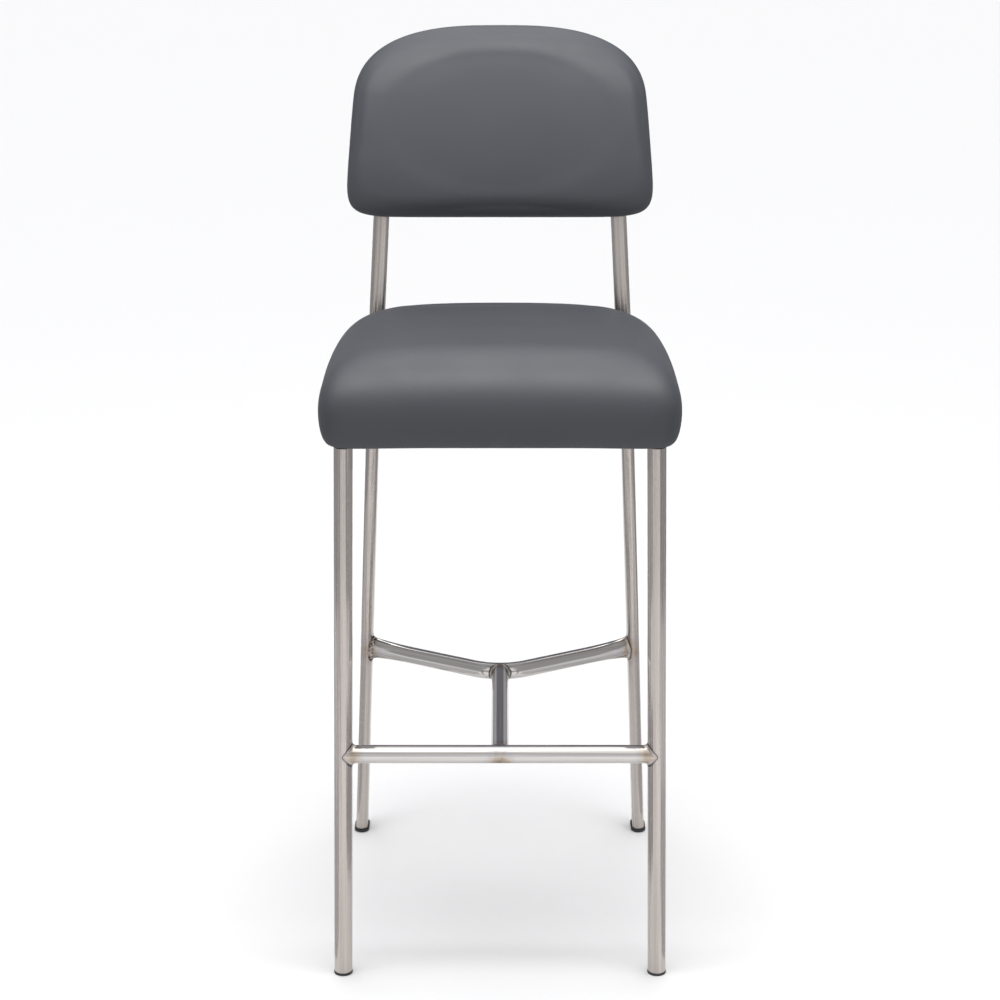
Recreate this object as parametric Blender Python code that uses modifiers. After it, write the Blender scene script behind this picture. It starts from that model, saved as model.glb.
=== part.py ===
"""Metal bar stool: a welded steel frame with a padded vinyl seat and back.

Every piece is modelled at its real size, in metres, with +Z up, the floor at Z = 0
and the front of the stool towards -Y. Left and right are as seen from the front.
"""

import math

import bmesh
import bpy
from mathutils import Matrix, Vector
from mathutils.bvhtree import BVHTree

# Clearance between pieces that touch, and between a shank and its hole
GAP = 0.0003
BOLT_CLEARANCE = 0.0003

# Stance
OVERALL_DEPTH = 0.463
FOOT_SPREAD = 0.3875
SEAT_OVERHANG = 0.034
SEAT_UNDERSIDE = 0.6811
FRONT_LEG_LEAN_IN = 0.0202
REAR_LEG_LEAN_IN = 0.05
REAR_LEG_LEAN_FORWARD = 0.17
BACK_LEAN = 0.19

# Round tube of the front legs, footrest and stretchers
TUBE_DIAMETER = 0.022
TUBE_WALL = 0.0012

# Flat oval tube of the rear legs
REAR_LEG_WIDTH = 0.016
REAR_LEG_DEPTH = 0.036
REAR_LEG_WALL = 0.0015
LEG_CAP_MARGIN = 0.002
LEG_CAP_THICKNESS = 0.003

# Flat oval tube of the uprights that carry the back
UPRIGHT_WIDTH = 0.020
UPRIGHT_DEPTH = 0.010
UPRIGHT_WALL = 0.0015
UPRIGHT_SHORTFALL = 0.034

# Rails and straps under the seat
RAIL_WIDTH = 0.014
RAIL_HEIGHT = 0.010
RAIL_WALL = 0.0015
REAR_RAIL_DROP = 0.025
STRAP_WIDTH = 0.030
STRAP_THICKNESS = 0.004
FRONT_STRAP_SETBACK = 0.075
STRAP_SPACING = 0.150

# Footrest and stretchers
FOOTREST_HEIGHT = 0.2935
CHEVRON_SLOPE = 0.56
CHEVRON_LANDING = 0.014
CHEVRON_BEND_RADIUS = 0.070
WELD_RADIUS = 0.0036
WELD_NARROWING = 0.45

# Plastic glides and plugs
FRONT_GLIDE_THICKNESS = 0.003
FRONT_GLIDE_MARGIN = 0.0005
REAR_GLIDE_THICKNESS = 0.004
REAR_GLIDE_MARGIN = 0.00225
STEM_LENGTH = 0.020
PLUG_FLANGE = 0.0014

# Seat cushion
SEAT_SIDE_OVERHANG = 0.0183
SEAT_REAR_CLEARANCE = 0.0052
SEAT_THICKNESS = 0.1054
SEAT_WIDEST_FROM_FRONT = 0.165
SEAT_WIDEST_HEIGHT = 0.030
SEAT_SIDE_FALL = 0.0085
SEAT_END_FALL = 0.0015
SEAT_TOP_ROLL = 0.064
SEAT_REAR_ROLL = 0.028
SEAT_BOTTOM_ROLL = 0.010
SEAT_FRONT_POWER = 12.0
SEAT_REAR_POWER = 5.0
SEAT_FRONT_TAPER = 0.0
SEAT_REAR_TAPER = 0.06
SEAT_BOARD_THICKNESS = 0.015
SEAT_BOLT_SPREAD = 0.240
DUST_COVER_THICKNESS = 0.0008
DUST_COVER_LAP = 0.012

# Back cushion
BACK_RISE = 0.198
BACK_HEIGHT = 0.238
BACK_SIDE_OVERHANG = 0.0407
BACK_THICKNESS = 0.0424
BACK_TAPER = 0.083
BACK_ARCH = 0.100
BACK_WIDEST_HEIGHT = 0.015
BACK_FRONT_ROLL = 0.030
BACK_REAR_ROLL = 0.013
BACK_DISH_DEPTH = 0.007
BACK_DISH_HALF_WIDTH = 0.143
BACK_DISH_HALF_HEIGHT = 0.093
BACK_DISH_POWER = 0.6
BACK_ARCH_POWER = 2.75
BACK_BASE_POWER = 10.0
BACK_BOARD_THICKNESS = 0.012
BACK_PANEL_THICKNESS = 0.005
BACK_PANEL_INSET = 0.010
BACK_BOLT_RISE = 0.054
BACK_BOLT_DROP = 0.004

# Upholstery and boards
COVER_THICKNESS = 0.0012
SEAT_HEM = 0.022
BACK_HEM = 0.016
BOARD_MARGIN = 0.003

# Fasteners
BOLT_DIAMETER = 0.006
BOLT_HEAD_DIAMETER = 0.011
BOLT_HEAD_HEIGHT = 0.0033
BOLT_END_SETBACK = 0.0006
BOLT_HEAD_RIM = 0.0013
BOLT_HEAD_CROWN_DIAMETER = 0.0068
HEX_KEY = 0.004
HEX_DEPTH = 0.002
WASHER_DIAMETER = 0.0125
WASHER_THICKNESS = 0.0012
TEE_NUT_FLANGE_DIAMETER = 0.018
TEE_NUT_FLANGE = 0.0015
TEE_NUT_WALL = 0.0006
TEE_NUT_BARREL = 0.009

# Facets of round pieces
TUBE_SIDES = 20
OVAL_ARC_STEPS = 8
FASTENER_SIDES = 12
BEND_STEPS = 6
TUBE_RESOLUTION = TUBE_SIDES // 2 - 2
WELD_STEPS = 16
WELD_RESOLUTION = 1
CUSHION_SIDES = 36
BOTTOM_ROLL_STEPS = 2
TOP_ROLL_STEPS = 4
CROWN_STEPS = 3
CORNER_BIAS = 4.0
ROLL_POWER = 2.5
SMOOTH_ANGLE = math.radians(40)
MERGE_DISTANCE = 0.000001
HEX_SIDES = 6

# Heights that stack up to the seat
DUST_COVER_BOTTOM = SEAT_UNDERSIDE - GAP - DUST_COVER_THICKNESS
FRAME_TOP = DUST_COVER_BOTTOM - GAP
LEG_CAP_BOTTOM = FRAME_TOP - LEG_CAP_THICKNESS
FRONT_LEG_TOP = FRAME_TOP - PLUG_FLANGE - GAP
RAIL_AXIS = FRAME_TOP - RAIL_HEIGHT / 2
STRAP_BOTTOM = FRAME_TOP - STRAP_THICKNESS
BOARD_BOTTOM = COVER_THICKNESS + GAP
BACK_BOTTOM = SEAT_UNDERSIDE + BACK_RISE

# Places along the depth
SEAT_FRONT = -OVERALL_DEPTH / 2
FRONT_LEG_Y = SEAT_FRONT + SEAT_OVERHANG
REAR_FOOT_Y = OVERALL_DEPTH / 2 - REAR_LEG_DEPTH / 2 - REAR_GLIDE_MARGIN
SEAT_AXIS_Y = SEAT_FRONT + SEAT_WIDEST_FROM_FRONT

# Tilt of the back
BACK_ANGLE = math.atan(BACK_LEAN)
BACK_STACK = GAP + BACK_PANEL_THICKNESS + GAP

SIDES = (("left", -1), ("right", 1))
UP = Vector((0, 0, 1))


class LeaningLine:
    """Centre line of a leg or upright: its place at floor level and its lean per metre of height."""

    def __init__(self, foot_x, foot_y, lean_x, lean_y):
        self.foot_x = foot_x
        self.foot_y = foot_y
        self.lean_x = lean_x
        self.lean_y = lean_y

    def at(self, height):
        return Vector((self.foot_x + self.lean_x * height, self.foot_y + self.lean_y * height, height))

    def shear(self):
        """Matrix that leans an upright prism so that its sections stay level."""
        return Matrix((
            (1, 0, self.lean_x, self.foot_x),
            (0, 1, self.lean_y, self.foot_y),
            (0, 0, 1, 0),
            (0, 0, 0, 1),
        ))


def front_leg_line(side):
    return LeaningLine(side * FOOT_SPREAD / 2, FRONT_LEG_Y, -side * FRONT_LEG_LEAN_IN, 0)


def rear_leg_line(side):
    return LeaningLine(side * FOOT_SPREAD / 2, REAR_FOOT_Y, -side * REAR_LEG_LEAN_IN, -REAR_LEG_LEAN_FORWARD)


def upright_line(side):
    """The upright stands on the leg cap, flush with the back of the leg."""
    base = rear_leg_line(side).at(FRAME_TOP)
    base_y = base.y + REAR_LEG_DEPTH / 2 - UPRIGHT_DEPTH / 2
    foot_y = base_y - BACK_LEAN * FRAME_TOP
    return LeaningLine(side * FOOT_SPREAD / 2, foot_y, -side * REAR_LEG_LEAN_IN, BACK_LEAN)


# Scene, collections and finishes

def clear_scene():
    for item in list(bpy.data.objects):
        bpy.data.objects.remove(item, do_unlink=True)


def new_collection(name):
    collection = bpy.data.collections.new(name)
    bpy.context.scene.collection.children.link(collection)
    return collection


def finish(name, colour, roughness, metallic=0.0):
    """Principled material of one finish, made once."""
    material = bpy.data.materials.get(name)
    if material is None:
        material = bpy.data.materials.new(name)
        material.use_nodes = True
        shader = material.node_tree.nodes["Principled BSDF"]
        shader.inputs["Base Color"].default_value = (*colour, 1)
        shader.inputs["Roughness"].default_value = roughness
        shader.inputs["Metallic"].default_value = metallic
    return material


def satin_steel():
    return finish("satin_steel", (0.50, 0.46, 0.43), 0.32, 1.0)


def polished_steel():
    return finish("polished_steel", (0.60, 0.58, 0.57), 0.14, 1.0)


def weld_steel():
    return finish("weld_steel", (0.55, 0.52, 0.48), 0.40, 1.0)


def zinc_steel():
    return finish("zinc_steel", (0.56, 0.57, 0.58), 0.35, 1.0)


def black_plastic():
    return finish("black_plastic", (0.02, 0.02, 0.02), 0.5)


def grey_vinyl():
    return finish("grey_vinyl", (0.10, 0.105, 0.12), 0.42)


def foam():
    return finish("foam", (0.75, 0.68, 0.45), 0.95)


def plywood():
    return finish("plywood", (0.55, 0.38, 0.22), 0.75)


def dust_cloth():
    return finish("dust_cloth", (0.03, 0.03, 0.03), 0.95)


# Meshes

def finished_mesh(name, shape):
    """Mesh from a bmesh, with its faces turned outwards and its round sides smooth."""
    bmesh.ops.recalc_face_normals(shape, faces=shape.faces)
    mesh = bpy.data.meshes.new(name)
    shape.to_mesh(mesh)
    shape.free()
    mesh.shade_smooth()
    mesh.set_sharp_from_angle(angle=SMOOTH_ANGLE)
    return mesh


def evaluated_mesh(item):
    """Mesh of an object or curve as its modifiers leave it; the object is removed."""
    bpy.context.scene.collection.objects.link(item)
    depsgraph = bpy.context.evaluated_depsgraph_get()
    mesh = bpy.data.meshes.new_from_object(item.evaluated_get(depsgraph))
    bpy.data.objects.remove(item, do_unlink=True)
    shape = bmesh.new()
    shape.from_mesh(mesh)
    bmesh.ops.remove_doubles(shape, verts=shape.verts, dist=MERGE_DISTANCE)
    name = mesh.name
    bpy.data.meshes.remove(mesh)
    return finished_mesh(name, shape)


def circle(radius, sides=TUBE_SIDES):
    return [(radius * math.cos(2 * math.pi * step / sides), radius * math.sin(2 * math.pi * step / sides))
            for step in range(sides)]


def flat_oval(width, depth):
    """Outline of two half circles joined by straight sides, long in x or in y."""
    radius = min(width, depth) / 2
    centres = ((width / 2 - radius, depth / 2 - radius), (radius - width / 2, radius - depth / 2))
    first = 0 if depth > width else -math.pi / 2
    points = []
    for turn, (x, y) in zip((first, first + math.pi), centres):
        for step in range(OVAL_ARC_STEPS + 1):
            angle = turn + math.pi * step / OVAL_ARC_STEPS
            points.append((x + radius * math.cos(angle), y + radius * math.sin(angle)))
    return points


def extruded_mesh(name, outlines, bottom, top):
    """The first outline, with holes from the others, made solid between two levels."""
    curve = bpy.data.curves.new(name, "CURVE")
    curve.dimensions = "2D"
    curve.fill_mode = "BOTH"
    curve.extrude = (top - bottom) / 2
    for outline in outlines:
        spline = curve.splines.new("POLY")
        spline.points.add(len(outline) - 1)
        for point, (x, y) in zip(spline.points, outline):
            point.co = (x, y, 0, 1)
        spline.use_cyclic_u = True
    mesh = evaluated_mesh(bpy.data.objects.new(name, curve))
    mesh.transform(Matrix.Translation((0, 0, (bottom + top) / 2)))
    return mesh


def loft_mesh(name, rings, capped=True):
    """Skin through rings that have as many points each, with flat ends when capped."""
    shape = bmesh.new()
    loops = [[shape.verts.new(point) for point in ring] for ring in rings]
    for lower, upper in zip(loops, loops[1:]):
        for index in range(len(lower)):
            following = (index + 1) % len(lower)
            shape.faces.new((lower[index], lower[following], upper[following], upper[index]))
    if capped:
        shape.faces.new(loops[0])
        shape.faces.new(loops[-1])
    return finished_mesh(name, shape)


def stepped_mesh(name, sections):
    """Solid of stacked outlines; each section is an outline with its lower and upper level."""
    rings = []
    for outline, bottom, top in sections:
        for level in (bottom, top):
            rings.append([(x, y, level) for x, y in outline])
    return loft_mesh(name, rings)


def turned_mesh(name, profile, closed_loop=False):
    """Profile of (radius, height) points, run down its outer side, turned round the Z axis."""
    mesh = bpy.data.meshes.new(name)
    edges = [(index, index + 1) for index in range(len(profile) - 1)]
    if closed_loop:
        edges.append((len(profile) - 1, 0))
    mesh.from_pydata([(radius, 0, height) for radius, height in profile], edges, [])
    item = bpy.data.objects.new(name, mesh)
    screw = item.modifiers.new("turn", "SCREW")
    screw.steps = FASTENER_SIDES
    screw.render_steps = FASTENER_SIDES
    screw.use_merge_vertices = True
    screw.merge_threshold = MERGE_DISTANCE
    return evaluated_mesh(item)


def bent_tube_mesh(name, points, radius, resolution, cyclic=False, radii=None, filled=True):
    """Round bar along a path of points, with an own thickness factor at each point if given."""
    curve = bpy.data.curves.new(name, "CURVE")
    curve.dimensions = "3D"
    curve.bevel_depth = radius
    curve.bevel_resolution = resolution
    curve.use_fill_caps = filled and not cyclic
    spline = curve.splines.new("POLY")
    spline.points.add(len(points) - 1)
    for index, point in enumerate(points):
        spline.points[index].co = (*point, 1)
        spline.points[index].radius = radii[index] if radii else 1
    spline.use_cyclic_u = cyclic
    return evaluated_mesh(bpy.data.objects.new(name, curve))


# Objects

def add_piece(name, mesh, material, parent=None, place=Matrix()):
    """Named sub-part of the stool."""
    piece = bpy.data.objects.new(name, mesh)
    mesh.materials.clear()
    mesh.materials.append(material)
    PARTS.objects.link(piece)
    piece.parent = parent
    piece.matrix_local = place
    return piece


def add_cutter(name, mesh, parent=None, place=Matrix()):
    """Wire solid that only shapes other pieces."""
    cutter = bpy.data.objects.new(name + "_cutter", mesh)
    CUTTERS.objects.link(cutter)
    cutter.hide_render = True
    cutter.display_type = "WIRE"
    cutter.parent = parent
    cutter.matrix_local = place
    return cutter


def cut(piece, *cutters):
    for cutter in cutters:
        boolean = piece.modifiers.new(cutter.name, "BOOLEAN")
        boolean.operation = "DIFFERENCE"
        boolean.solver = "EXACT"
        boolean.object = cutter


def add_frame(name, location, tilt=0.0):
    """Empty that carries the pieces of a cushion."""
    empty = bpy.data.objects.new(name, None)
    PARTS.objects.link(empty)
    empty.location = location
    empty.rotation_euler = (tilt, 0, 0)
    bpy.context.view_layer.update()
    return empty


def along(start, direction, up=UP):
    """Matrix that lays a shape's Z axis along a direction, with its Y axis as near up as can be."""
    forward = direction.normalized()
    across = up.cross(forward).normalized()
    rise = forward.cross(across)
    turn = Matrix((across, rise, forward)).transposed().to_4x4()
    return Matrix.Translation(start) @ turn


# Legs, uprights and the frame's tubes

def leg_cutters(side_name, side):
    """Solids of the legs, a gap larger, that trim whatever meets them."""
    above = FRAME_TOP + STRAP_THICKNESS
    round_mesh = extruded_mesh("front_leg", [circle(TUBE_DIAMETER / 2 + GAP)], 0, above)
    round_mesh.transform(front_leg_line(side).shear())
    oval = flat_oval(REAR_LEG_WIDTH + 2 * GAP, REAR_LEG_DEPTH + 2 * GAP)
    oval_mesh = extruded_mesh("rear_leg", [oval], 0, above)
    oval_mesh.transform(rear_leg_line(side).shear())
    margin = 2 * (LEG_CAP_MARGIN + GAP)
    cap_oval = flat_oval(REAR_LEG_WIDTH + margin, REAR_LEG_DEPTH + margin)
    cap_mesh = extruded_mesh("leg_cap", [cap_oval], LEG_CAP_BOTTOM - GAP, above)
    cap_mesh.transform(rear_leg_line(side).shear())
    return {
        "front": add_cutter(f"front_leg_{side_name}", round_mesh),
        "rear": add_cutter(f"rear_leg_{side_name}", oval_mesh),
        "cap": add_cutter(f"rear_leg_cap_{side_name}", cap_mesh),
    }


def make_front_leg(side_name, side):
    """Round tube with a glide in its foot and a plug in its top."""
    line = front_leg_line(side)
    outer = TUBE_DIAMETER / 2
    bore = outer - TUBE_WALL
    foot = FRONT_GLIDE_THICKNESS + GAP
    leg = extruded_mesh("front_leg", [circle(outer), circle(bore)], foot, FRONT_LEG_TOP)
    leg.transform(line.shear())
    add_piece(f"front_leg_{side_name}", leg, satin_steel())

    stem = circle(bore - GAP)
    glide = stepped_mesh("front_glide", (
        (circle(outer + FRONT_GLIDE_MARGIN), 0, FRONT_GLIDE_THICKNESS),
        (stem, FRONT_GLIDE_THICKNESS, STEM_LENGTH),
    ))
    glide.transform(line.shear())
    add_piece(f"front_glide_{side_name}", glide, black_plastic())

    flange_bottom = FRAME_TOP - PLUG_FLANGE
    plug = stepped_mesh("front_leg_plug", (
        (stem, flange_bottom - STEM_LENGTH, flange_bottom),
        (circle(outer), flange_bottom, FRAME_TOP),
    ))
    plug.transform(line.shear())
    add_piece(f"front_leg_plug_{side_name}", plug, black_plastic())


def make_rear_leg(side_name, side):
    """Flat oval tube, leaning in and forward, with a glide below and a welded cap above."""
    line = rear_leg_line(side)
    width, depth = REAR_LEG_WIDTH, REAR_LEG_DEPTH
    inner = flat_oval(width - 2 * REAR_LEG_WALL, depth - 2 * REAR_LEG_WALL)
    foot = REAR_GLIDE_THICKNESS + GAP
    leg = extruded_mesh("rear_leg", [flat_oval(width, depth), inner], foot, LEG_CAP_BOTTOM - GAP)
    leg.transform(line.shear())
    add_piece(f"rear_leg_{side_name}", leg, satin_steel())

    inside = 2 * (REAR_LEG_WALL + GAP)
    beyond = 2 * REAR_GLIDE_MARGIN
    glide = stepped_mesh("rear_glide", (
        (flat_oval(width + beyond, depth + beyond), 0, REAR_GLIDE_THICKNESS),
        (flat_oval(width - inside, depth - inside), REAR_GLIDE_THICKNESS, STEM_LENGTH),
    ))
    glide.transform(line.shear())
    add_piece(f"rear_glide_{side_name}", glide, black_plastic())

    beyond = 2 * LEG_CAP_MARGIN
    outline = flat_oval(width + beyond, depth + beyond)
    cap = extruded_mesh("rear_leg_cap", [outline], LEG_CAP_BOTTOM, FRAME_TOP)
    cap.transform(line.shear())
    add_piece(f"rear_leg_cap_{side_name}", cap, satin_steel())


def upright_top():
    """Height where the uprights end, behind the back cushion."""
    return BACK_BOTTOM + BACK_HEIGHT * math.cos(BACK_ANGLE) - UPRIGHT_SHORTFALL


def make_upright(side_name, side, bolt_holes):
    """Flat oval tube that leans back from the leg cap, with a plug in its top."""
    line = upright_line(side)
    width, depth = UPRIGHT_WIDTH, UPRIGHT_DEPTH
    inner = flat_oval(width - 2 * UPRIGHT_WALL, depth - 2 * UPRIGHT_WALL)
    top = upright_top()
    upright = extruded_mesh("back_upright", [flat_oval(width, depth), inner], FRAME_TOP + GAP, top)
    upright.transform(line.shear())
    cut(add_piece(f"back_upright_{side_name}", upright, satin_steel()), *bolt_holes)

    inside = 2 * (UPRIGHT_WALL + GAP)
    flange_bottom = top + GAP
    plug = stepped_mesh("upright_plug", (
        (flat_oval(width - inside, depth - inside), flange_bottom - STEM_LENGTH, flange_bottom),
        (flat_oval(width, depth), flange_bottom, flange_bottom + PLUG_FLANGE),
    ))
    plug.transform(line.shear())
    add_piece(f"upright_plug_{side_name}", plug, black_plastic())


def rail_mesh(name, start, end, grow=0.0):
    """Flat oval bar laid flat between two points; hollow unless it is grown into a cutter."""
    outlines = [flat_oval(RAIL_WIDTH + 2 * grow, RAIL_HEIGHT + 2 * grow)]
    if not grow:
        outlines.append(flat_oval(RAIL_WIDTH - 2 * RAIL_WALL, RAIL_HEIGHT - 2 * RAIL_WALL))
    run = end - start
    mesh = extruded_mesh(name, outlines, 0, run.length)
    mesh.transform(along(start, run))
    return mesh


def make_seat_rails(cutters):
    """Side rails from leg to leg, a rear rail, and two straps that carry the seat."""
    rail_cutters = []
    for side_name, side in SIDES:
        name = f"side_rail_{side_name}"
        ends = side_rail_ends(side)
        cut(add_piece(name, rail_mesh("side_rail", *ends), satin_steel()), *cutters[side_name].values())
        rail_cutters.append(add_cutter(name, rail_mesh("side_rail", *ends, GAP)))

    ends = [rear_leg_line(side).at(FRAME_TOP - REAR_RAIL_DROP) for _, side in SIDES]
    rear_rail = add_piece("rear_rail", rail_mesh("rear_rail", *ends), satin_steel())
    cut(rear_rail, cutters["left"]["rear"], cutters["right"]["rear"])

    leg_parts = [*cutters["left"].values(), *cutters["right"].values()]
    for strap_name, y in strap_places():
        outline = []
        for edge in (-STRAP_WIDTH / 2, STRAP_WIDTH / 2):
            reach = rail_centre_x(y + edge)
            outline.extend([(-reach, y + edge), (reach, y + edge)])
        outline[2:] = outline[:1:-1]
        holes = [hole_outline(x, y) for x in seat_bolt_columns()]
        strap_mesh = extruded_mesh("seat_strap", [outline, *holes], STRAP_BOTTOM, FRAME_TOP)
        cut(add_piece(strap_name, strap_mesh, satin_steel()), *rail_cutters, *leg_parts)


def strap_places():
    front = FRONT_LEG_Y + FRONT_STRAP_SETBACK
    return (("seat_strap_front", front), ("seat_strap_rear", front + STRAP_SPACING))


def side_rail_ends(side):
    """From the axis of the front leg to the middle of the rear leg's rounded nose."""
    nose = Vector((0, (REAR_LEG_WIDTH - REAR_LEG_DEPTH) / 2, 0))
    return front_leg_line(side).at(RAIL_AXIS), rear_leg_line(side).at(RAIL_AXIS) + nose


def rail_centre_x(y):
    """Distance of the side rails from the middle at a place along the depth."""
    start, end = side_rail_ends(1)
    share = (y - start.y) / (end.y - start.y)
    return start.x + share * (end.x - start.x)


def seat_bolt_columns():
    return (-SEAT_BOLT_SPREAD / 2, SEAT_BOLT_SPREAD / 2)


def hole_outline(x, y, radius=BOLT_DIAMETER / 2 + BOLT_CLEARANCE):
    return [(x + dx, y + dy) for dx, dy in circle(radius, FASTENER_SIDES)]


# Footrest, stretchers and welds

def chevron_path():
    """Centre line of the bent stretcher: two straight arms with a round bend between them."""
    nose = rear_leg_line(1).at(FOOTREST_HEIGHT) - Vector((0, REAR_LEG_DEPTH / 2, 0))
    aim = nose + Vector((0, CHEVRON_LANDING, 0))
    angle = math.atan(CHEVRON_SLOPE)
    vertex_y = aim.y - CHEVRON_SLOPE * aim.x
    centre_y = vertex_y + CHEVRON_BEND_RADIUS / math.cos(angle)
    path = [Vector((-aim.x, aim.y, FOOTREST_HEIGHT))]
    for step in range(BEND_STEPS + 1):
        turn = -angle + 2 * angle * step / BEND_STEPS
        x = CHEVRON_BEND_RADIUS * math.sin(turn)
        y = centre_y - CHEVRON_BEND_RADIUS * math.cos(turn)
        path.append(Vector((x, y, FOOTREST_HEIGHT)))
    path.append(aim)
    return path


def straight_tube(name, start, end):
    """Hollow round tube between two points."""
    outlines = [circle(TUBE_DIAMETER / 2), circle(TUBE_DIAMETER / 2 - TUBE_WALL)]
    mesh = extruded_mesh(name, outlines, 0, (end - start).length)
    mesh.transform(along(start, end - start))
    return add_piece(name, mesh, polished_steel())


def straight_tube_cutter(name, start, end):
    mesh = extruded_mesh(name, [circle(TUBE_DIAMETER / 2 + GAP)], 0, (end - start).length)
    mesh.transform(along(start, end - start))
    return add_cutter(name, mesh)


def make_stretchers(cutters):
    """Footrest bar, bent rear stretcher and the tube that ties them, with their weld beads."""
    left, right = cutters["left"], cutters["right"]
    footrest_ends = [front_leg_line(side).at(FOOTREST_HEIGHT) for _, side in SIDES]
    footrest = straight_tube("footrest_bar", *footrest_ends)
    cut(footrest, left["front"], right["front"])
    footrest_cutter = straight_tube_cutter("footrest_bar", *footrest_ends)

    path = chevron_path()
    chevron_mesh = bent_tube_mesh("chevron_stretcher", path, TUBE_DIAMETER / 2, TUBE_RESOLUTION, filled=False)
    chevron = add_piece("chevron_stretcher", chevron_mesh, polished_steel())
    shell = chevron.modifiers.new("wall", "SOLIDIFY")
    shell.thickness = TUBE_WALL
    shell.offset = -1
    cut(chevron, left["rear"], right["rear"])
    chevron_cutter_mesh = bent_tube_mesh("chevron_stretcher", path, TUBE_DIAMETER / 2 + GAP, TUBE_RESOLUTION)
    chevron_cutter = add_cutter("chevron_stretcher", chevron_cutter_mesh)

    tie_start = Vector((0, FRONT_LEG_Y, FOOTREST_HEIGHT))
    tie_end = path[len(path) // 2]
    tie = straight_tube("centre_stretcher", tie_start, tie_end)
    cut(tie, footrest_cutter, chevron_cutter)
    tie_cutter = straight_tube_cutter("centre_stretcher", tie_start, tie_end)

    middle = Vector((0, FRONT_LEG_Y, FOOTREST_HEIGHT))
    for side_name, side in SIDES:
        outward = Vector((side, 0, 0))
        add_weld(f"footrest_weld_{side_name}", cutters[side_name]["front"], footrest_cutter, middle, outward)
        end, bend = (path[0], path[1]) if side < 0 else (path[-1], path[-2])
        add_weld(f"chevron_weld_{side_name}", cutters[side_name]["rear"], chevron_cutter, bend, end - bend)
    halfway = (tie_start + tie_end) / 2
    backward = Vector((0, 1, 0))
    add_weld("stretcher_weld_front", footrest_cutter, tie_cutter, halfway, -backward)
    add_weld("stretcher_weld_rear", chevron_cutter, tie_cutter, halfway, backward)


def add_weld(name, post, bar, origin, direction):
    """Bead along the line where a round bar, running from origin in a direction, meets a post.

    The bead is thickest where the surfaces meet square on and thinner at the flanks.
    """
    shape = bmesh.new()
    shape.from_mesh(post.data)
    surface = BVHTree.FromBMesh(shape)
    shape.free()
    forward = direction.normalized()
    across = UP.cross(forward).normalized()
    radius = TUBE_DIAMETER / 2 - GAP
    path = []
    radii = []
    for step in range(WELD_STEPS):
        turn = 2 * math.pi * step / WELD_STEPS
        start = origin + radius * (across * math.cos(turn) + UP * math.sin(turn))
        path.append(surface.ray_cast(start, forward)[0])
        radii.append(1 - WELD_NARROWING * abs(math.cos(turn)))
    bead = bent_tube_mesh(name, path, WELD_RADIUS, WELD_RESOLUTION, cyclic=True, radii=radii)
    cut(add_piece(name, bead, weld_steel()), post, bar)


# Fasteners

def bolt_mesh(length):
    """Button head bolt with a hexagon socket; the shank runs up from the head's face at z = 0."""
    shank = BOLT_DIAMETER / 2
    head = BOLT_HEAD_DIAMETER / 2
    profile = (
        (0, length),
        (shank, length),
        (shank, 0),
        (head, 0),
        (head, -BOLT_HEAD_RIM),
        (BOLT_HEAD_CROWN_DIAMETER / 2, -BOLT_HEAD_HEIGHT),
        (0, -BOLT_HEAD_HEIGHT),
    )
    item = bpy.data.objects.new("bolt", turned_mesh("bolt", profile))
    hexagon = circle(HEX_KEY / math.sqrt(3), HEX_SIDES)
    key = extruded_mesh("hex_key", [hexagon], -2 * BOLT_HEAD_HEIGHT, HEX_DEPTH - BOLT_HEAD_HEIGHT)
    key_cutter = add_cutter("hex_key", key)
    cut(item, key_cutter)
    mesh = evaluated_mesh(item)
    bpy.data.objects.remove(key_cutter, do_unlink=True)
    return mesh


def tee_nut_mesh():
    """Flanged nut: the barrel hangs below z = 0 and the flange lies above it."""
    bore = BOLT_DIAMETER / 2 + BOLT_CLEARANCE
    barrel = bore + TEE_NUT_WALL
    flange = TEE_NUT_FLANGE_DIAMETER / 2
    profile = (
        (bore, TEE_NUT_FLANGE),
        (flange, TEE_NUT_FLANGE),
        (flange, 0),
        (barrel, 0),
        (barrel, -TEE_NUT_BARREL),
        (bore, -TEE_NUT_BARREL),
    )
    return turned_mesh("tee_nut", profile, closed_loop=True)


def tee_nut_room_mesh():
    """Room for a tee nut's flange in the foam."""
    outline = circle(TEE_NUT_FLANGE_DIAMETER / 2 + GAP, FASTENER_SIDES)
    return extruded_mesh("tee_nut_room", [outline], -GAP, TEE_NUT_FLANGE + GAP)


# Cushions

def plan_outline(half_width, front, rear, front_power, rear_power, front_taper, rear_taper):
    """Rounded outline round the origin: two superellipse halves, each narrowing with its depth by a taper."""
    points = []
    for index in range(CUSHION_SIDES):
        turn = 2 * math.pi * (index + 0.5) / CUSHION_SIDES
        x = math.copysign(abs(math.cos(turn)) ** (2 / CORNER_BIAS), math.cos(turn))
        y = math.copysign(abs(math.sin(turn)) ** (2 / CORNER_BIAS), math.sin(turn))
        power, depth, taper = (rear_power, rear, rear_taper) if y > 0 else (front_power, front, front_taper)
        reach = (abs(x) ** power + abs(y) ** power) ** (1 / power)
        along_depth = y / reach * depth
        points.append((x / reach * (half_width - taper * abs(along_depth)), along_depth))
    return points


def seat_plan(side_inset, front_inset, rear_inset):
    front = SEAT_WIDEST_FROM_FRONT - front_inset
    rear = seat_rear_y() - SEAT_AXIS_Y - rear_inset
    return plan_outline(seat_half_width() - side_inset, front, rear,
                        SEAT_FRONT_POWER, SEAT_REAR_POWER, SEAT_FRONT_TAPER, SEAT_REAR_TAPER)


def seat_rear_y():
    """The seat ends just ahead of the uprights, where it is widest."""
    upright = upright_line(1).at(SEAT_UNDERSIDE + SEAT_WIDEST_HEIGHT)
    return upright.y - UPRIGHT_DEPTH / 2 - SEAT_REAR_CLEARANCE


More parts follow.
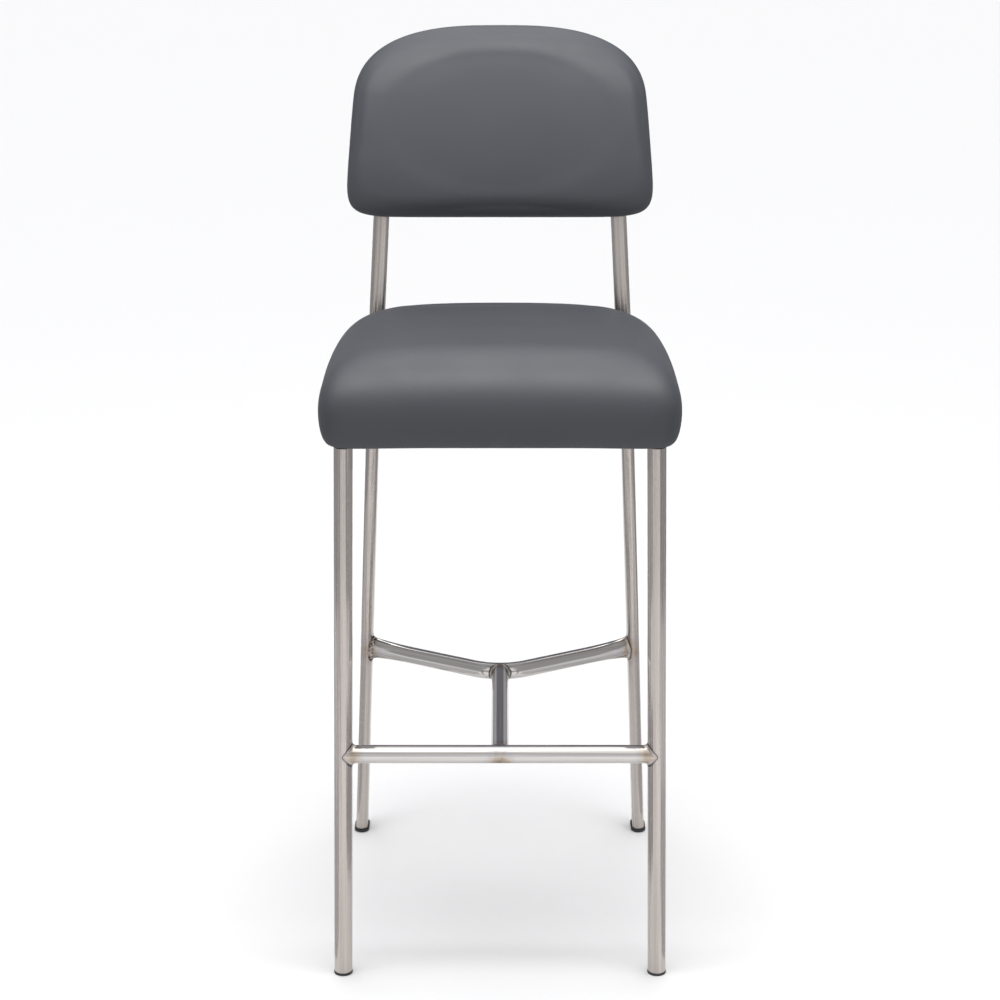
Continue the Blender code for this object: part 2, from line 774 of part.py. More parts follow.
def seat_half_width():
    return front_leg_line(1).at(FRAME_TOP).x + TUBE_DIAMETER / 2 + SEAT_SIDE_OVERHANG


def seat_height(x, y):
    """Height of the seat's top over its underside: highest in the middle, falling to the sides."""
    across = x / seat_half_width()
    depth = y / SEAT_WIDEST_FROM_FRONT
    return SEAT_THICKNESS - SEAT_SIDE_FALL * across ** 2 - SEAT_END_FALL * depth ** 2


def back_plan(side_inset, base_inset, arch_inset):
    base = BACK_HEIGHT - BACK_ARCH
    return plan_outline(back_half_width() - side_inset, base - base_inset, BACK_ARCH - arch_inset,
                        BACK_BASE_POWER, BACK_ARCH_POWER, -BACK_TAPER, BACK_TAPER)


def back_half_width():
    return upright_line(1).at(back_axis_height()).x + BACK_SIDE_OVERHANG


def back_axis_height():
    """Height of the line from which the back's arch rises."""
    return BACK_BOTTOM + (BACK_HEIGHT - BACK_ARCH) * math.cos(BACK_ANGLE)


def back_height(x, y):
    """Height of the back's front face over its rear: a broad oval dish in a flat pad."""
    middle = BACK_ARCH - BACK_HEIGHT / 2
    oval = (x / BACK_DISH_HALF_WIDTH) ** 2 + ((y - middle) / BACK_DISH_HALF_HEIGHT) ** 2
    return BACK_THICKNESS - BACK_DISH_DEPTH * max(0.0, 1 - oval) ** BACK_DISH_POWER


def cushion_rings(plan, height, widest, hem, bottom_roll, top_roll, rear_roll):
    """Rings of a cushion's skin, from the inner edge of its hem round the side to its middle."""
    rings = []
    hem_inset = bottom_roll + hem
    rings.append([(x, y, 0) for x, y in plan(hem_inset, hem_inset, hem_inset)])
    for step in range(BOTTOM_ROLL_STEPS + 1):
        turn = math.pi / 2 * step / BOTTOM_ROLL_STEPS
        inset = bottom_roll * (1 - math.sin(turn))
        level = widest * (1 - math.cos(turn))
        rings.append([(x, y, level) for x, y in plan(inset, inset, inset)])
    for step in range(1, TOP_ROLL_STEPS + 1):
        turn = math.pi / 2 * step / TOP_ROLL_STEPS
        share = 1 - math.cos(turn) ** (2 / ROLL_POWER)
        rise = math.sin(turn) ** (2 / ROLL_POWER)
        outline = plan(top_roll * share, top_roll * share, rear_roll * share)
        rings.append([(x, y, widest + (height(x, y) - widest) * rise) for x, y in outline])
    edge = plan(top_roll, top_roll, rear_roll)
    for step in range(1, CROWN_STEPS):
        share = 1 - step / CROWN_STEPS
        rings.append([(x * share, y * share, height(x * share, y * share)) for x, y in edge])
    return rings


def make_cushion(name, rings, frame, board, nuts, bolt_holes):
    """Cover and foam of a cushion; the foam fills the cover round the board and its nuts."""
    skin = loft_mesh(name + "_skin", rings, capped=False)
    close_last_ring(skin, rings[-1])
    cover = add_piece(name + "_cover", skin, grey_vinyl(), frame)
    shell = cover.modifiers.new("vinyl", "SOLIDIFY")
    shell.thickness = COVER_THICKNESS
    shell.offset = -1
    cut(cover, *bolt_holes)

    shape = bmesh.new()
    shape.from_mesh(skin)
    shape.normal_update()
    inward = [vertex.normal * (COVER_THICKNESS + GAP) for vertex in shape.verts]
    for vertex, step in zip(shape.verts, inward):
        vertex.co -= step
    open_edges = [edge for edge in shape.edges if edge.is_boundary]
    bmesh.ops.contextual_create(shape, geom=open_edges)
    filling = add_piece(name + "_foam", finished_mesh(name + "_foam", shape), foam(), frame)
    cut(filling, board, *nuts)


def close_last_ring(mesh, ring):
    """Flat face over the last ring of an open skin, split to its middle."""
    shape = bmesh.new()
    shape.from_mesh(mesh)
    shape.verts.ensure_lookup_table()
    face = shape.faces.new(shape.verts[-len(ring):])
    bmesh.ops.poke(shape, faces=[face])
    bmesh.ops.recalc_face_normals(shape, faces=shape.faces)
    if sum(face.normal.z * face.calc_area() for face in shape.faces) < 0:
        bmesh.ops.reverse_faces(shape, faces=shape.faces)
    shape.to_mesh(mesh)
    shape.free()


def board_and_nuts(name, plan, inset, thickness, frame, places):
    """Plywood board of a cushion with a tee nut in each hole, and the cutters that clear them."""
    top = BOARD_BOTTOM + thickness
    barrel = BOLT_DIAMETER / 2 + BOLT_CLEARANCE + TEE_NUT_WALL
    outlines = [plan(inset, inset, inset)]
    outlines.extend(hole_outline(x, y, barrel + GAP) for _, x, y in places)
    add_piece(f"{name}_board", extruded_mesh("board", outlines, BOARD_BOTTOM, top), plywood(), frame)
    room = plan(inset - GAP, inset - GAP, inset - GAP)
    board_cutter = add_cutter(f"{name}_board", extruded_mesh("board", [room], 0, top + GAP), frame)
    nut = tee_nut_mesh()
    nut_room = tee_nut_room_mesh()
    nut_cutters = []
    for place_name, x, y in places:
        seat = Matrix.Translation((x, y, top + GAP))
        add_piece(f"{name}_tee_nut_{place_name}", nut, zinc_steel(), frame, seat)
        nut_cutters.append(add_cutter(f"{name}_tee_nut_{place_name}", nut_room, frame, seat))
    return board_cutter, nut_cutters


def bolt_hole_cutters(name, places, bottom, frame):
    """Holes for a cushion's bolts, from below their heads up to the board."""
    hole = extruded_mesh(f"{name}_bolt_hole", [hole_outline(0, 0)], bottom, BOARD_BOTTOM)
    cutters = {}
    for place_name, x, y in places:
        spot = Matrix.Translation((x, y, 0))
        cutters[place_name] = add_cutter(f"{name}_bolt_{place_name}", hole, frame, spot)
    return cutters


def make_seat(frame):
    places = []
    for strap_name, y in strap_places():
        for side_name, x in zip(("left", "right"), seat_bolt_columns()):
            places.append((f"{strap_name.split('_')[-1]}_{side_name}", x, y - SEAT_AXIS_Y))
    inset = SEAT_BOTTOM_ROLL + BOARD_MARGIN
    board, nuts = board_and_nuts("seat", seat_plan, inset, SEAT_BOARD_THICKNESS, frame, places)
    washer_top = STRAP_BOTTOM - GAP - SEAT_UNDERSIDE
    washer_bottom = washer_top - WASHER_THICKNESS
    head_face = washer_bottom - GAP
    holes = bolt_hole_cutters("seat", places, head_face, frame)
    rings = cushion_rings(seat_plan, seat_height, SEAT_WIDEST_HEIGHT, SEAT_HEM, SEAT_BOTTOM_ROLL,
                          SEAT_TOP_ROLL, SEAT_REAR_ROLL)
    make_cushion("seat", rings, frame, board, nuts, holes.values())

    cloth_inset = SEAT_BOTTOM_ROLL + SEAT_HEM - DUST_COVER_LAP
    outlines = [seat_plan(cloth_inset, cloth_inset, cloth_inset)]
    outlines.extend(hole_outline(x, y) for _, x, y in places)
    cloth = extruded_mesh("seat_dust_cover", outlines, -GAP - DUST_COVER_THICKNESS, -GAP)
    add_piece("seat_dust_cover", cloth, dust_cloth(), frame)

    nut_top = BOARD_BOTTOM + SEAT_BOARD_THICKNESS + GAP + TEE_NUT_FLANGE
    bolt = bolt_mesh(nut_top - BOLT_END_SETBACK - head_face)
    washer = extruded_mesh("washer", [circle(WASHER_DIAMETER / 2, FASTENER_SIDES), hole_outline(0, 0)],
                           washer_bottom, washer_top)
    for place_name, x, y in places:
        add_piece(f"seat_washer_{place_name}", washer, zinc_steel(), frame, Matrix.Translation((x, y, 0)))
        seat = Matrix.Translation((x, y, head_face))
        add_piece(f"seat_bolt_{place_name}", bolt, zinc_steel(), frame, seat)


def back_bolt_places(frame):
    """Bolts on each upright's centre line: above the back's lower edge, and below the arch."""
    places = []
    for level_name, y in (("lower", BACK_BOLT_RISE + BACK_ARCH - BACK_HEIGHT), ("upper", -BACK_BOLT_DROP)):
        height = (frame.matrix_world @ Vector((0, y, 0))).z
        for side_name, side in SIDES:
            places.append((f"{level_name}_{side_name}", upright_line(side).at(height).x, y))
    return places


def back_frame_place():
    """Point on the back's rear face, ahead of the uprights by the panel and its gaps."""
    height = back_axis_height()
    face_y = upright_line(1).at(height).y - UPRIGHT_DEPTH / 2
    ahead = Vector((0, -math.cos(BACK_ANGLE), math.sin(BACK_ANGLE))) * BACK_STACK
    return Vector((0, face_y, height)) + ahead


def make_back(frame):
    """Back cushion, panel and bolts; returns the cutters of the bolts' holes."""
    places = back_bolt_places(frame)
    inset = BACK_REAR_ROLL + BOARD_MARGIN
    board, nuts = board_and_nuts("back", back_plan, inset, BACK_BOARD_THICKNESS, frame, places)
    rings = cushion_rings(back_plan, back_height, BACK_WIDEST_HEIGHT, BACK_HEM, BACK_REAR_ROLL,
                          BACK_FRONT_ROLL, BACK_FRONT_ROLL)
    head_face = -BACK_STACK - UPRIGHT_DEPTH * math.cos(BACK_ANGLE) - GAP
    holes = bolt_hole_cutters("back", places, 2 * head_face, frame)
    make_cushion("back", rings, frame, board, nuts, holes.values())

    panel_inset = BACK_REAR_ROLL + BACK_PANEL_INSET
    outlines = [back_plan(panel_inset, panel_inset, panel_inset)]
    outlines.extend(hole_outline(x, y) for _, x, y in places)
    panel = extruded_mesh("back_rear_panel", outlines, -GAP - BACK_PANEL_THICKNESS, -GAP)
    add_piece("back_rear_panel", panel, grey_vinyl(), frame)

    nut_top = BOARD_BOTTOM + BACK_BOARD_THICKNESS + GAP + TEE_NUT_FLANGE
    bolt = bolt_mesh(nut_top - BOLT_END_SETBACK - head_face)
    for place_name, x, y in places:
        seat = Matrix.Translation((x, y, head_face))
        add_piece(f"back_bolt_{place_name}", bolt, zinc_steel(), frame, seat)
    return holes


def build_stool():
    cutters = {}
    for side_name, side in SIDES:
        cutters[side_name] = leg_cutters(side_name, side)
        make_front_leg(side_name, side)
        make_rear_leg(side_name, side)
    make_seat_rails(cutters)
    make_stretchers(cutters)
    make_seat(add_frame("seat_frame", (0, SEAT_AXIS_Y, SEAT_UNDERSIDE)))
    back_frame = add_frame("back_frame", back_frame_place(), math.pi / 2 - BACK_ANGLE)
    holes = make_back(back_frame)
    for side_name, side in SIDES:
        side_holes = [hole for place_name, hole in holes.items() if place_name.endswith(side_name)]
        make_upright(side_name, side, side_holes)


clear_scene()
PARTS = new_collection("metal_bar_stool")
CUTTERS = new_collection("cutters")
build_stool()
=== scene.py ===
"""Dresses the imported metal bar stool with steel, vinyl, plastic and soft studio light.

The file is laid out as an add-on: settings, one operator for each group of pieces, and a sidebar panel.
Every piece is made in the frame's own axes: metres, +Z up, the sitter's knees towards -Y.
"""

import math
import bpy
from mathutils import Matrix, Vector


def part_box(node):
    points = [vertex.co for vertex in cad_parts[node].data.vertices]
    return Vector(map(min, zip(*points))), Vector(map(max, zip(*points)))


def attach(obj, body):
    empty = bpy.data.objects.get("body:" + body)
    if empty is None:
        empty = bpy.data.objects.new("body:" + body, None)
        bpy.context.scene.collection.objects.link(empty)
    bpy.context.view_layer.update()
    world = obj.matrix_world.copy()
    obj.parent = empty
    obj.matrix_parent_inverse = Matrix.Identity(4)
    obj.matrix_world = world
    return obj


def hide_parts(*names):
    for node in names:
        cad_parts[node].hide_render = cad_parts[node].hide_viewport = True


bl_info = {
    "name": "Metal Bar Stool",
    "version": (1, 0, 0),
    "blender": (4, 5, 0),
    "location": "View3D > Sidebar > Stool",
    "description": "Dresses a welded bar stool with steel, vinyl, plastic and studio light",
    "category": "Object",
}

import bmesh
import bpy
import numpy as np
from bpy.props import FloatProperty, FloatVectorProperty, IntProperty, PointerProperty
from mathutils import Matrix, Vector, kdtree, noise
from mathutils.bvhtree import BVHTree

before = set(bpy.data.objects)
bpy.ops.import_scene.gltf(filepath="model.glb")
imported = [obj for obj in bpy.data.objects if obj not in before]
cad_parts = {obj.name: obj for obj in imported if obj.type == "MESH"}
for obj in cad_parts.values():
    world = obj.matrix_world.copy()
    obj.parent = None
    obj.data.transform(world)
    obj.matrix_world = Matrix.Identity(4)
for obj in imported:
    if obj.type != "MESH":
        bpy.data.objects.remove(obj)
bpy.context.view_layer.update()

SIDES = (("left", -1), ("right", 1))
ACROSS = Vector((1, 0, 0))
BACKWARD = Vector((0, 1, 0))
UP = Vector((0, 0, 1))
END_BAND = 0.0006
SHARP_ANGLE = math.radians(38)
ROUND_STEPS = 4


# Settings

def length_setting(name, description, default):
    return FloatProperty(name=name, description=description, default=default, unit="LENGTH")


def number_setting(name, description, default):
    return FloatProperty(name=name, description=description, default=default)


def angle_setting(name, description, degrees):
    return FloatProperty(name=name, description=description, default=math.radians(degrees), subtype="ANGLE")


def colour_setting(name, description, default):
    return FloatVectorProperty(
        name=name, description=description, default=default, subtype="COLOR", size=3, min=0, max=1)


def light_setting(name, description, default):
    """Colour of a light, which may be brighter than white."""
    return FloatVectorProperty(
        name=name, description=description, default=default, subtype="COLOR", size=3, min=0)


class StoolFrameSettings(bpy.types.PropertyGroup):
    """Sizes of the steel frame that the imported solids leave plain."""

    tube_sides: IntProperty(
        name="Tube sides", description="Facets round a tube", default=64, min=12)
    edge_rounding: length_setting("Edge rounding", "Radius on cut edges of tubes and plates", 0.0005)
    weld_leg: length_setting("Weld leg", "Reach of a ground weld along each tube", 0.0042)
    weld_ripple: length_setting("Weld ripple", "Height of the ripples on a weld", 0.00012)
    weld_lump: length_setting("Weld lump", "Height of the lumps on the one rough weld", 0.0015)
    bend_radius: length_setting("Bend radius", "Radius of the bent stretcher's middle bend", 0.070)
    landing: length_setting(
        "Landing", "Distance behind the rear leg's nose where a stretcher arm lands", 0.014)
    pinch_length: length_setting("Pinch length", "Length over which a stretcher end is pressed flat", 0.062)
    pinch_height: length_setting("Pinch height", "Height of a pressed stretcher end", 0.0295)
    pinch_width: length_setting("Pinch width", "Width of a pressed stretcher end", 0.0145)


class StoolCushionSettings(bpy.types.PropertyGroup):
    """Shape of the seat and back pads."""

    voxel: length_setting("Skin grain", "Spacing of the skin's points before it swells", 0.005)
    pressure: number_setting("Pressure", "Air pressure that rounds a pad out", 4.0)
    swell: length_setting("Swell", "Room left for a pad to swell into", 0.0015)
    swell_limit: length_setting("Swell limit", "Furthest that a point may move", 0.005)
    seat_widest_from_front: length_setting(
        "Seat widest from front", "Depth at which the seat is widest", 0.165)
    seat_widest_height: length_setting("Seat widest height", "Height at which the seat is widest", 0.036)
    seat_top_roll: length_setting("Seat top roll", "Inset of the seat's rolled front edge", 0.082)
    seat_side_roll: length_setting("Seat side roll", "Inset of the seat's rolled sides", 0.052)
    seat_rear_roll: length_setting("Seat rear roll", "Inset of the seat's rolled rear edge", 0.028)
    seat_bottom_roll: length_setting("Seat bottom roll", "Inset of the seat's lower edge", 0.0105)
    seat_side_fall: length_setting("Seat side fall", "Fall of the seat's top from middle to sides", 0.0085)
    seat_lip_arch: length_setting("Seat lip arch", "Rise of the front lower edge in the middle", 0.0042)
    seat_rear_taper: number_setting("Seat rear taper", "Narrowing of the seat towards its rear", 0.06)
    back_arch: length_setting("Back arch", "Height of the back's arched top", 0.100)
    back_overhang: length_setting(
        "Back overhang", "Reach of the back beyond the uprights' middles, where its arch begins", 0.0407)
    back_taper: number_setting("Back taper", "Narrowing of the back towards its top", 0.083)
    back_widest_depth: length_setting("Back widest depth", "Depth at which the back is widest", 0.015)
    back_front_roll: length_setting("Back front roll", "Inset of the back's rolled front edge", 0.021)
    back_base_roll: length_setting("Back base roll", "Inset of the back's rolled base", 0.029)
    back_rear_roll: length_setting("Back rear roll", "Inset of the back's rear edge", 0.013)
    back_crown: length_setting(
        "Back crown", "Fall of the back's front face from its middle to its top and base", 0.006)
    back_rim_fall: length_setting(
        "Back rim fall", "How fast the back's front face falls away outside the dish", 0.078)
    dish_depth: length_setting("Dish depth", "Depth of the oval dish in the back", 0.0008)
    dish_band: number_setting("Dish band", "Share of the dish that its sloping edge takes up", 0.20)
    dish_half_width: length_setting("Dish half width", "Half the dish's width", 0.158)
    dish_half_height: length_setting("Dish half height", "Half the dish's height", 0.096)
    staple_spacing: length_setting("Staple spacing", "Spacing of the staples under the seat", 0.032)


class StoolFinishSettings(bpy.types.PropertyGroup):
    """Colours of the finishes."""

    satin: colour_setting("Satin steel", "Colour of the legs and uprights", (0.535, 0.488, 0.456))
    polished: colour_setting(
        "Polished steel", "Colour of the footrest and stretchers", (0.610, 0.586, 0.566))
    zinc: colour_setting("Zinc", "Colour of bolts, washers and staples", (0.56, 0.57, 0.59))
    vinyl: colour_setting("Vinyl", "Colour of the seat and back covers", (0.0450, 0.0482, 0.0566))
    plastic: colour_setting("Plastic", "Colour of glides and plugs", (0.012, 0.012, 0.013))
    dust_cloth: colour_setting("Dust cloth", "Colour of the cloth under the seat", (0.020, 0.020, 0.021))
    plywood: colour_setting("Plywood", "Colour of the boards inside the pads", (0.50, 0.34, 0.19))


class StoolStageSettings(bpy.types.PropertyGroup):
    """Camera, floor and light."""

    lens: FloatProperty(
        name="Lens", description="Focal length on a 36 mm sensor", default=82.8, unit="CAMERA")
    camera_distance: length_setting(
        "Camera distance", "Distance of the camera in front of the stool's middle", 2.730)
    camera_height: length_setting("Camera height", "Height of the camera", 1.4265)
    camera_pitch: angle_setting("Camera pitch", "Angle below the horizon", 17.8)
    floor: colour_setting("Floor", "Colour of the floor", (0.82, 0.82, 0.82))
    overhead: number_setting("Overhead", "Brightness of the softbox overhead", 3.0)
    overhead_angle: angle_setting("Overhead angle", "Half the angle that the softbox spans", 30)
    overhead_tilt: angle_setting("Overhead tilt", "Angle of the softbox behind the zenith", 11)
    key_power: FloatProperty(
        name="Key power", description="Power of the softbox above the back", default=9.8, unit="POWER")
    key_place: FloatVectorProperty(
        name="Key place", description="Depth and height of the softbox above the back",
        default=(-0.32, 1.60), size=2, unit="LENGTH")
    footrest_card: number_setting("Footrest card", "Brightness of the card over the footrest", 1.4)
    seat_card: number_setting("Seat card", "Brightness of the card under the seat", 0.42)
    side_flag: number_setting("Side flag", "Brightness of the tall flags beside the stool", 0.44)
    low_flag: number_setting("Low flag", "Brightness of the low flags beside the front legs", 0.80)
    front_card: number_setting("Front card", "Brightness of the card behind the camera", 0.83)
    floor_flag: number_setting("Floor flag", "Brightness of the flags on the floor beside the feet", 0.62)
    inner_flag: number_setting("Inner flag", "Brightness of the flags between the legs", 0.48)
    flag_distance: length_setting("Flag distance", "Distance of a side flag from the middle", 0.70)
    flag_near: length_setting("Flag near edge", "Depth where a side flag begins", -0.90)
    glow: light_setting("Glow", "Light from above the front of the room", (1.52, 1.50, 1.47))
    room: light_setting("Room", "Light from the front of the room", (0.54, 0.53, 0.52))
    room_low: light_setting(
        "Room low", "Light from the front of the room near the floor", (0.50, 0.50, 0.50))
    room_side: light_setting("Room side", "Light from the sides of the room", (0.52, 0.54, 0.60))
    room_rear: light_setting("Room rear", "Light from the rear of the room", (0.20, 0.20, 0.23))


# Reading the frame

def coordinates(mesh):
    """Points of a mesh, one row each."""
    points = np.empty(len(mesh.vertices) * 3, np.float32)
    mesh.vertices.foreach_get("co", points)
    return points.reshape(-1, 3)


def node_points(node):
    return coordinates(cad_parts[node].data).astype(float)


def middle(points):
    """Middle of the box round some points."""
    return Vector((points.min(0) + points.max(0)) / 2)


class Post:
    """Centre line of a leg or upright, whose sections are level, read from its CAD node."""

    def __init__(self, node):
        points = node_points(node)
        heights = points[:, 2]
        self.low = heights.min()
        self.high = heights.max()
        foot = points[heights < self.low + END_BAND]
        self.width, self.depth = np.ptp(foot, axis=0)[:2]
        self.foot = middle(foot)
        self.head = middle(points[heights > self.high - END_BAND])

    def at(self, height):
        share = (height - self.foot.z) / (self.head.z - self.foot.z)
        return self.foot + (self.head - self.foot) * share


def back_axes():
    """Rows: across the back, up along it, and out of its front face, from the lean of the uprights."""
    upright = Post("back_upright_right")
    run = upright.head - upright.foot
    lean = math.atan2(run.y, run.z)
    return np.array([
        (1, 0, 0),
        (0, math.sin(lean), math.cos(lean)),
        (0, -math.cos(lean), math.sin(lean)),
    ])


def box_along(node, axes):
    """Lowest and highest corner of a node, measured along some axes."""
    points = node_points(node) @ axes.T
    return points.min(0), points.max(0)


# Meshes and pieces

def circle(radius, sides):
    turns = [2 * math.pi * step / sides for step in range(sides)]
    return [(radius * math.cos(turn), radius * math.sin(turn)) for turn in turns]


def flat_oval(width, depth, sides):
    """Two half circles joined by straight sides, long in x or in y."""
    radius = min(width, depth) / 2
    reach = Vector((width / 2 - radius, depth / 2 - radius))
    first = 0 if depth > width else -math.pi / 2
    points = []
    for turn, sign in ((first, 1), (first + math.pi, -1)):
        for step in range(sides // 2 + 1):
            angle = turn + math.pi * step / (sides // 2)
            x = sign * reach.x + radius * math.cos(angle)
            points.append((x, sign * reach.y + radius * math.sin(angle)))
    return points


def tube_section(width, depth, sides):
    """Round section, or a flat oval where the width and the depth differ."""
    if abs(width - depth) < END_BAND:
        return circle(width / 2, sides)
    return flat_oval(width, depth, sides // 2)


def rounding(radius):
    """Steps of a rounded edge, from the end inwards: distance from the end, and inset."""
    turns = [math.pi / 2 * step / ROUND_STEPS for step in range(ROUND_STEPS + 1)]
    return [(radius * (1 - math.cos(turn)), radius * (1 - math.sin(turn))) for turn in turns]


def rounded_levels(low, high, radius):
    """Levels and insets of a bar or plate with both ends rounded."""
    steps = rounding(radius)
    lower = [(low + rise, inset) for rise, inset in steps]
    return lower + [(high - rise, inset) for rise, inset in reversed(steps)]


def loft_mesh(name, rings, cyclic=False):
    """Closed mesh through rings of as many points each; a cyclic run joins its last ring to its first."""
    count = len(rings[0])
    points = [tuple(point) for ring in rings for point in ring]
    faces = []
    for row in range(len(rings) if cyclic else len(rings) - 1):
        lower = row * count
        upper = (row + 1) % len(rings) * count
        for index in range(count):
            following = (index + 1) % count
            faces.append((lower + index, lower + following, upper + following, upper + index))
    if not cyclic:
        faces.append(range(count))
        faces.append(range(len(points) - count, len(points)))
    mesh = bpy.data.meshes.new(name)
    mesh.from_pydata(points, [], faces)
    return outward(mesh)


def outward(mesh):
    """Turns a mesh's faces outwards and shades it smooth between its sharp edges."""
    shape = bmesh.new()
    shape.from_mesh(mesh)
    bmesh.ops.recalc_face_normals(shape, faces=shape.faces)
    shape.to_mesh(mesh)
    shape.free()
    mesh.shade_smooth()
    mesh.set_sharp_from_angle(angle=SHARP_ANGLE)
    return mesh


def store_straight(mesh, rows):
    """Keeps each point's place in the straightened tube, along which the drawing lines run."""
    layer = mesh.attributes.new("straight", "FLOAT_VECTOR", "POINT")
    layer.data.foreach_set("vector", np.array(rows, np.float32).ravel())


def tube_mesh(name, section, stations):
    """Bar through stations of (centre, across, rise, width scale, height scale)."""
    rings = []
    straight = []
    run = 0.0
    last = stations[0][0]
    for centre, across, rise, width, height in stations:
        run += (centre - last).length
        last = centre
        rings.append([centre + across * (a * width) + rise * (b * height) for a, b in section])
        straight.extend((a * width, b * height, run) for a, b in section)
    mesh = loft_mesh(name, rings)
    store_straight(mesh, straight)
    return mesh


def straight_tube(name, section, ends, across):
    """Level bar of one section between two ends."""
    return tube_mesh(name, section, [(end, across, UP, 1, 1) for end in ends])


def post_mesh(name, post, section, low, high, radius):
    """Leaning bar with level sections and rounded ends."""
    half_width = max(a for a, _ in section)
    half_depth = max(b for _, b in section)
    stations = []
    for level, inset in rounded_levels(low, high, radius):
        stations.append((post.at(level), ACROSS, BACKWARD, 1 - inset / half_width, 1 - inset / half_depth))
    return tube_mesh(name, section, stations)


def plate_mesh(name, outline, low, high, radius):
    """Level plate with rounded edges; outline gives the points for an inset."""
    rings = [[(x, y, level) for x, y in outline(inset)] for level, inset in rounded_levels(low, high, radius)]
    return loft_mesh(name, rings)


def add_object(name, data):
    item = bpy.data.objects.new(name, data)
    bpy.context.scene.collection.objects.link(item)
    return item


def paint(mesh, material):
    """Gives a mesh one material in place of any that it has."""
    mesh.materials.clear()
    mesh.materials.append(material)


def add_piece(name, mesh, material, *nodes):
    """Puts a mesh on the stool's one body, in place of the CAD nodes that it stands for."""
    piece = add_object(name, mesh)
    paint(mesh, material)
    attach(piece, "root")
    if nodes:
        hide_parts(*nodes)
    return piece


# Shader nodes

class Shader:
    """Short way to add and join nodes in one tree."""

    def __init__(self, tree):
        self.tree = tree

    def put(self, socket, value):
        """Joins another node's output to a socket, or sets the socket to a plain value."""
        if isinstance(value, bpy.types.NodeSocket):
            self.tree.links.new(value, socket)
        else:
            socket.default_value = value

    def add(self, kind, values=None, **options):
        node = self.tree.nodes.new(kind)
        for option, value in options.items():
            setattr(node, option, value)
        for socket, value in (values or {}).items():
            self.put(node.inputs[socket], value)
        return node

    def math(self, operation, *values):
        return self.add("ShaderNodeMath", dict(enumerate(values)), operation=operation).outputs[0]

    def vector(self, operation, *values):
        return self.add("ShaderNodeVectorMath", dict(enumerate(values)), operation=operation).outputs[0]

    def noise(self, place, scale, detail=2.0, roughness=0.5, distortion=0.0):
        node = self.add("ShaderNodeTexNoise", {
            "Vector": place, "Scale": scale, "Detail": detail,
            "Roughness": roughness, "Distortion": distortion,
        })
        return node.outputs["Fac"]

    def spread(self, value, low, high):
        """Value between 0 and 1 mapped to a range."""
        node = self.add("ShaderNodeMapRange", {"Value": value, "To Min": low, "To Max": high})
        return node.outputs["Result"]

    def stretch(self, value, low, high):
        """Value in a range mapped to between 0 and 1."""
        node = self.add("ShaderNodeMapRange", {"Value": value, "From Min": low, "From Max": high})
        return node.outputs["Result"]

    def bump(self, height, strength, distance, normal=None):
        """Normal of a rough surface, which may lie over another bump's normal."""
        values = {"Height": height, "Strength": strength, "Distance": distance}
        if normal is not None:
            values["Normal"] = normal
        return self.add("ShaderNodeBump", values).outputs["Normal"]

    def tint(self, factor, first, second, blend="MIX"):
        node = self.add("ShaderNodeMix", data_type="RGBA", blend_type=blend)
        sockets = {socket.identifier: socket for socket in node.inputs}
        self.put(sockets["Factor_Float"], factor)
        self.put(sockets["A_Color"], first)
        self.put(sockets["B_Color"], second)
        return next(item for item in node.outputs if item.identifier == "Result_Color")

    def ramp(self, factor, stops):
        node = self.add("ShaderNodeValToRGB", {"Fac": factor})
        elements = node.color_ramp.elements
        while len(elements) < len(stops):
            elements.new(1.0)
        for element, (place, colour) in zip(elements, stops):
            element.position = place
            element.color = colour
        return node.outputs["Color"]

    def place(self):
        return self.add("ShaderNodeTexCoord").outputs["Object"]

    def group(self, tree, **values):
        node = self.add("ShaderNodeGroup", node_tree=tree)
        for socket, value in values.items():
            node.inputs[socket.capitalize()].default_value = value
        return node.outputs


class Finish(Shader):
    """New material, with a short way to set its surface shader."""

    def __init__(self, name):
        self.material = bpy.data.materials.new(name)
        self.material.use_nodes = True
        super().__init__(self.material.node_tree)
        self.surface = self.tree.nodes["Principled BSDF"]

    def marks(self, size):
        return self.group(handling_marks(), size=size)["Marks"]

    def grain(self, cell):
        return self.group(pebble_grain(), cell=cell)["Height"]

    def dress(self, values):
        """Joins or sets sockets of the surface shader, and gives back the material."""
        for socket, value in values.items():
            self.put(self.surface.inputs[socket], value)
        return self.material


def effect(name, inputs, outputs, build):
    """Shader node group, built once; inputs are (name, kind, default) and outputs (name, kind)."""
    tree = bpy.data.node_groups.get(name)
    if tree is None:
        tree = bpy.data.node_groups.new(name, "ShaderNodeTree")
        for label, kind, default in inputs:
            socket = tree.interface.new_socket(label, in_out="INPUT", socket_type=kind)
            socket.default_value = default
        for label, kind in outputs:
            tree.interface.new_socket(label, in_out="OUTPUT", socket_type=kind)
        shader = Shader(tree)
        given = shader.add("NodeGroupInput").outputs
        results = build(shader, given)
        shader.add("NodeGroupOutput", results)
    return tree


FINE_SHARE = 0.22


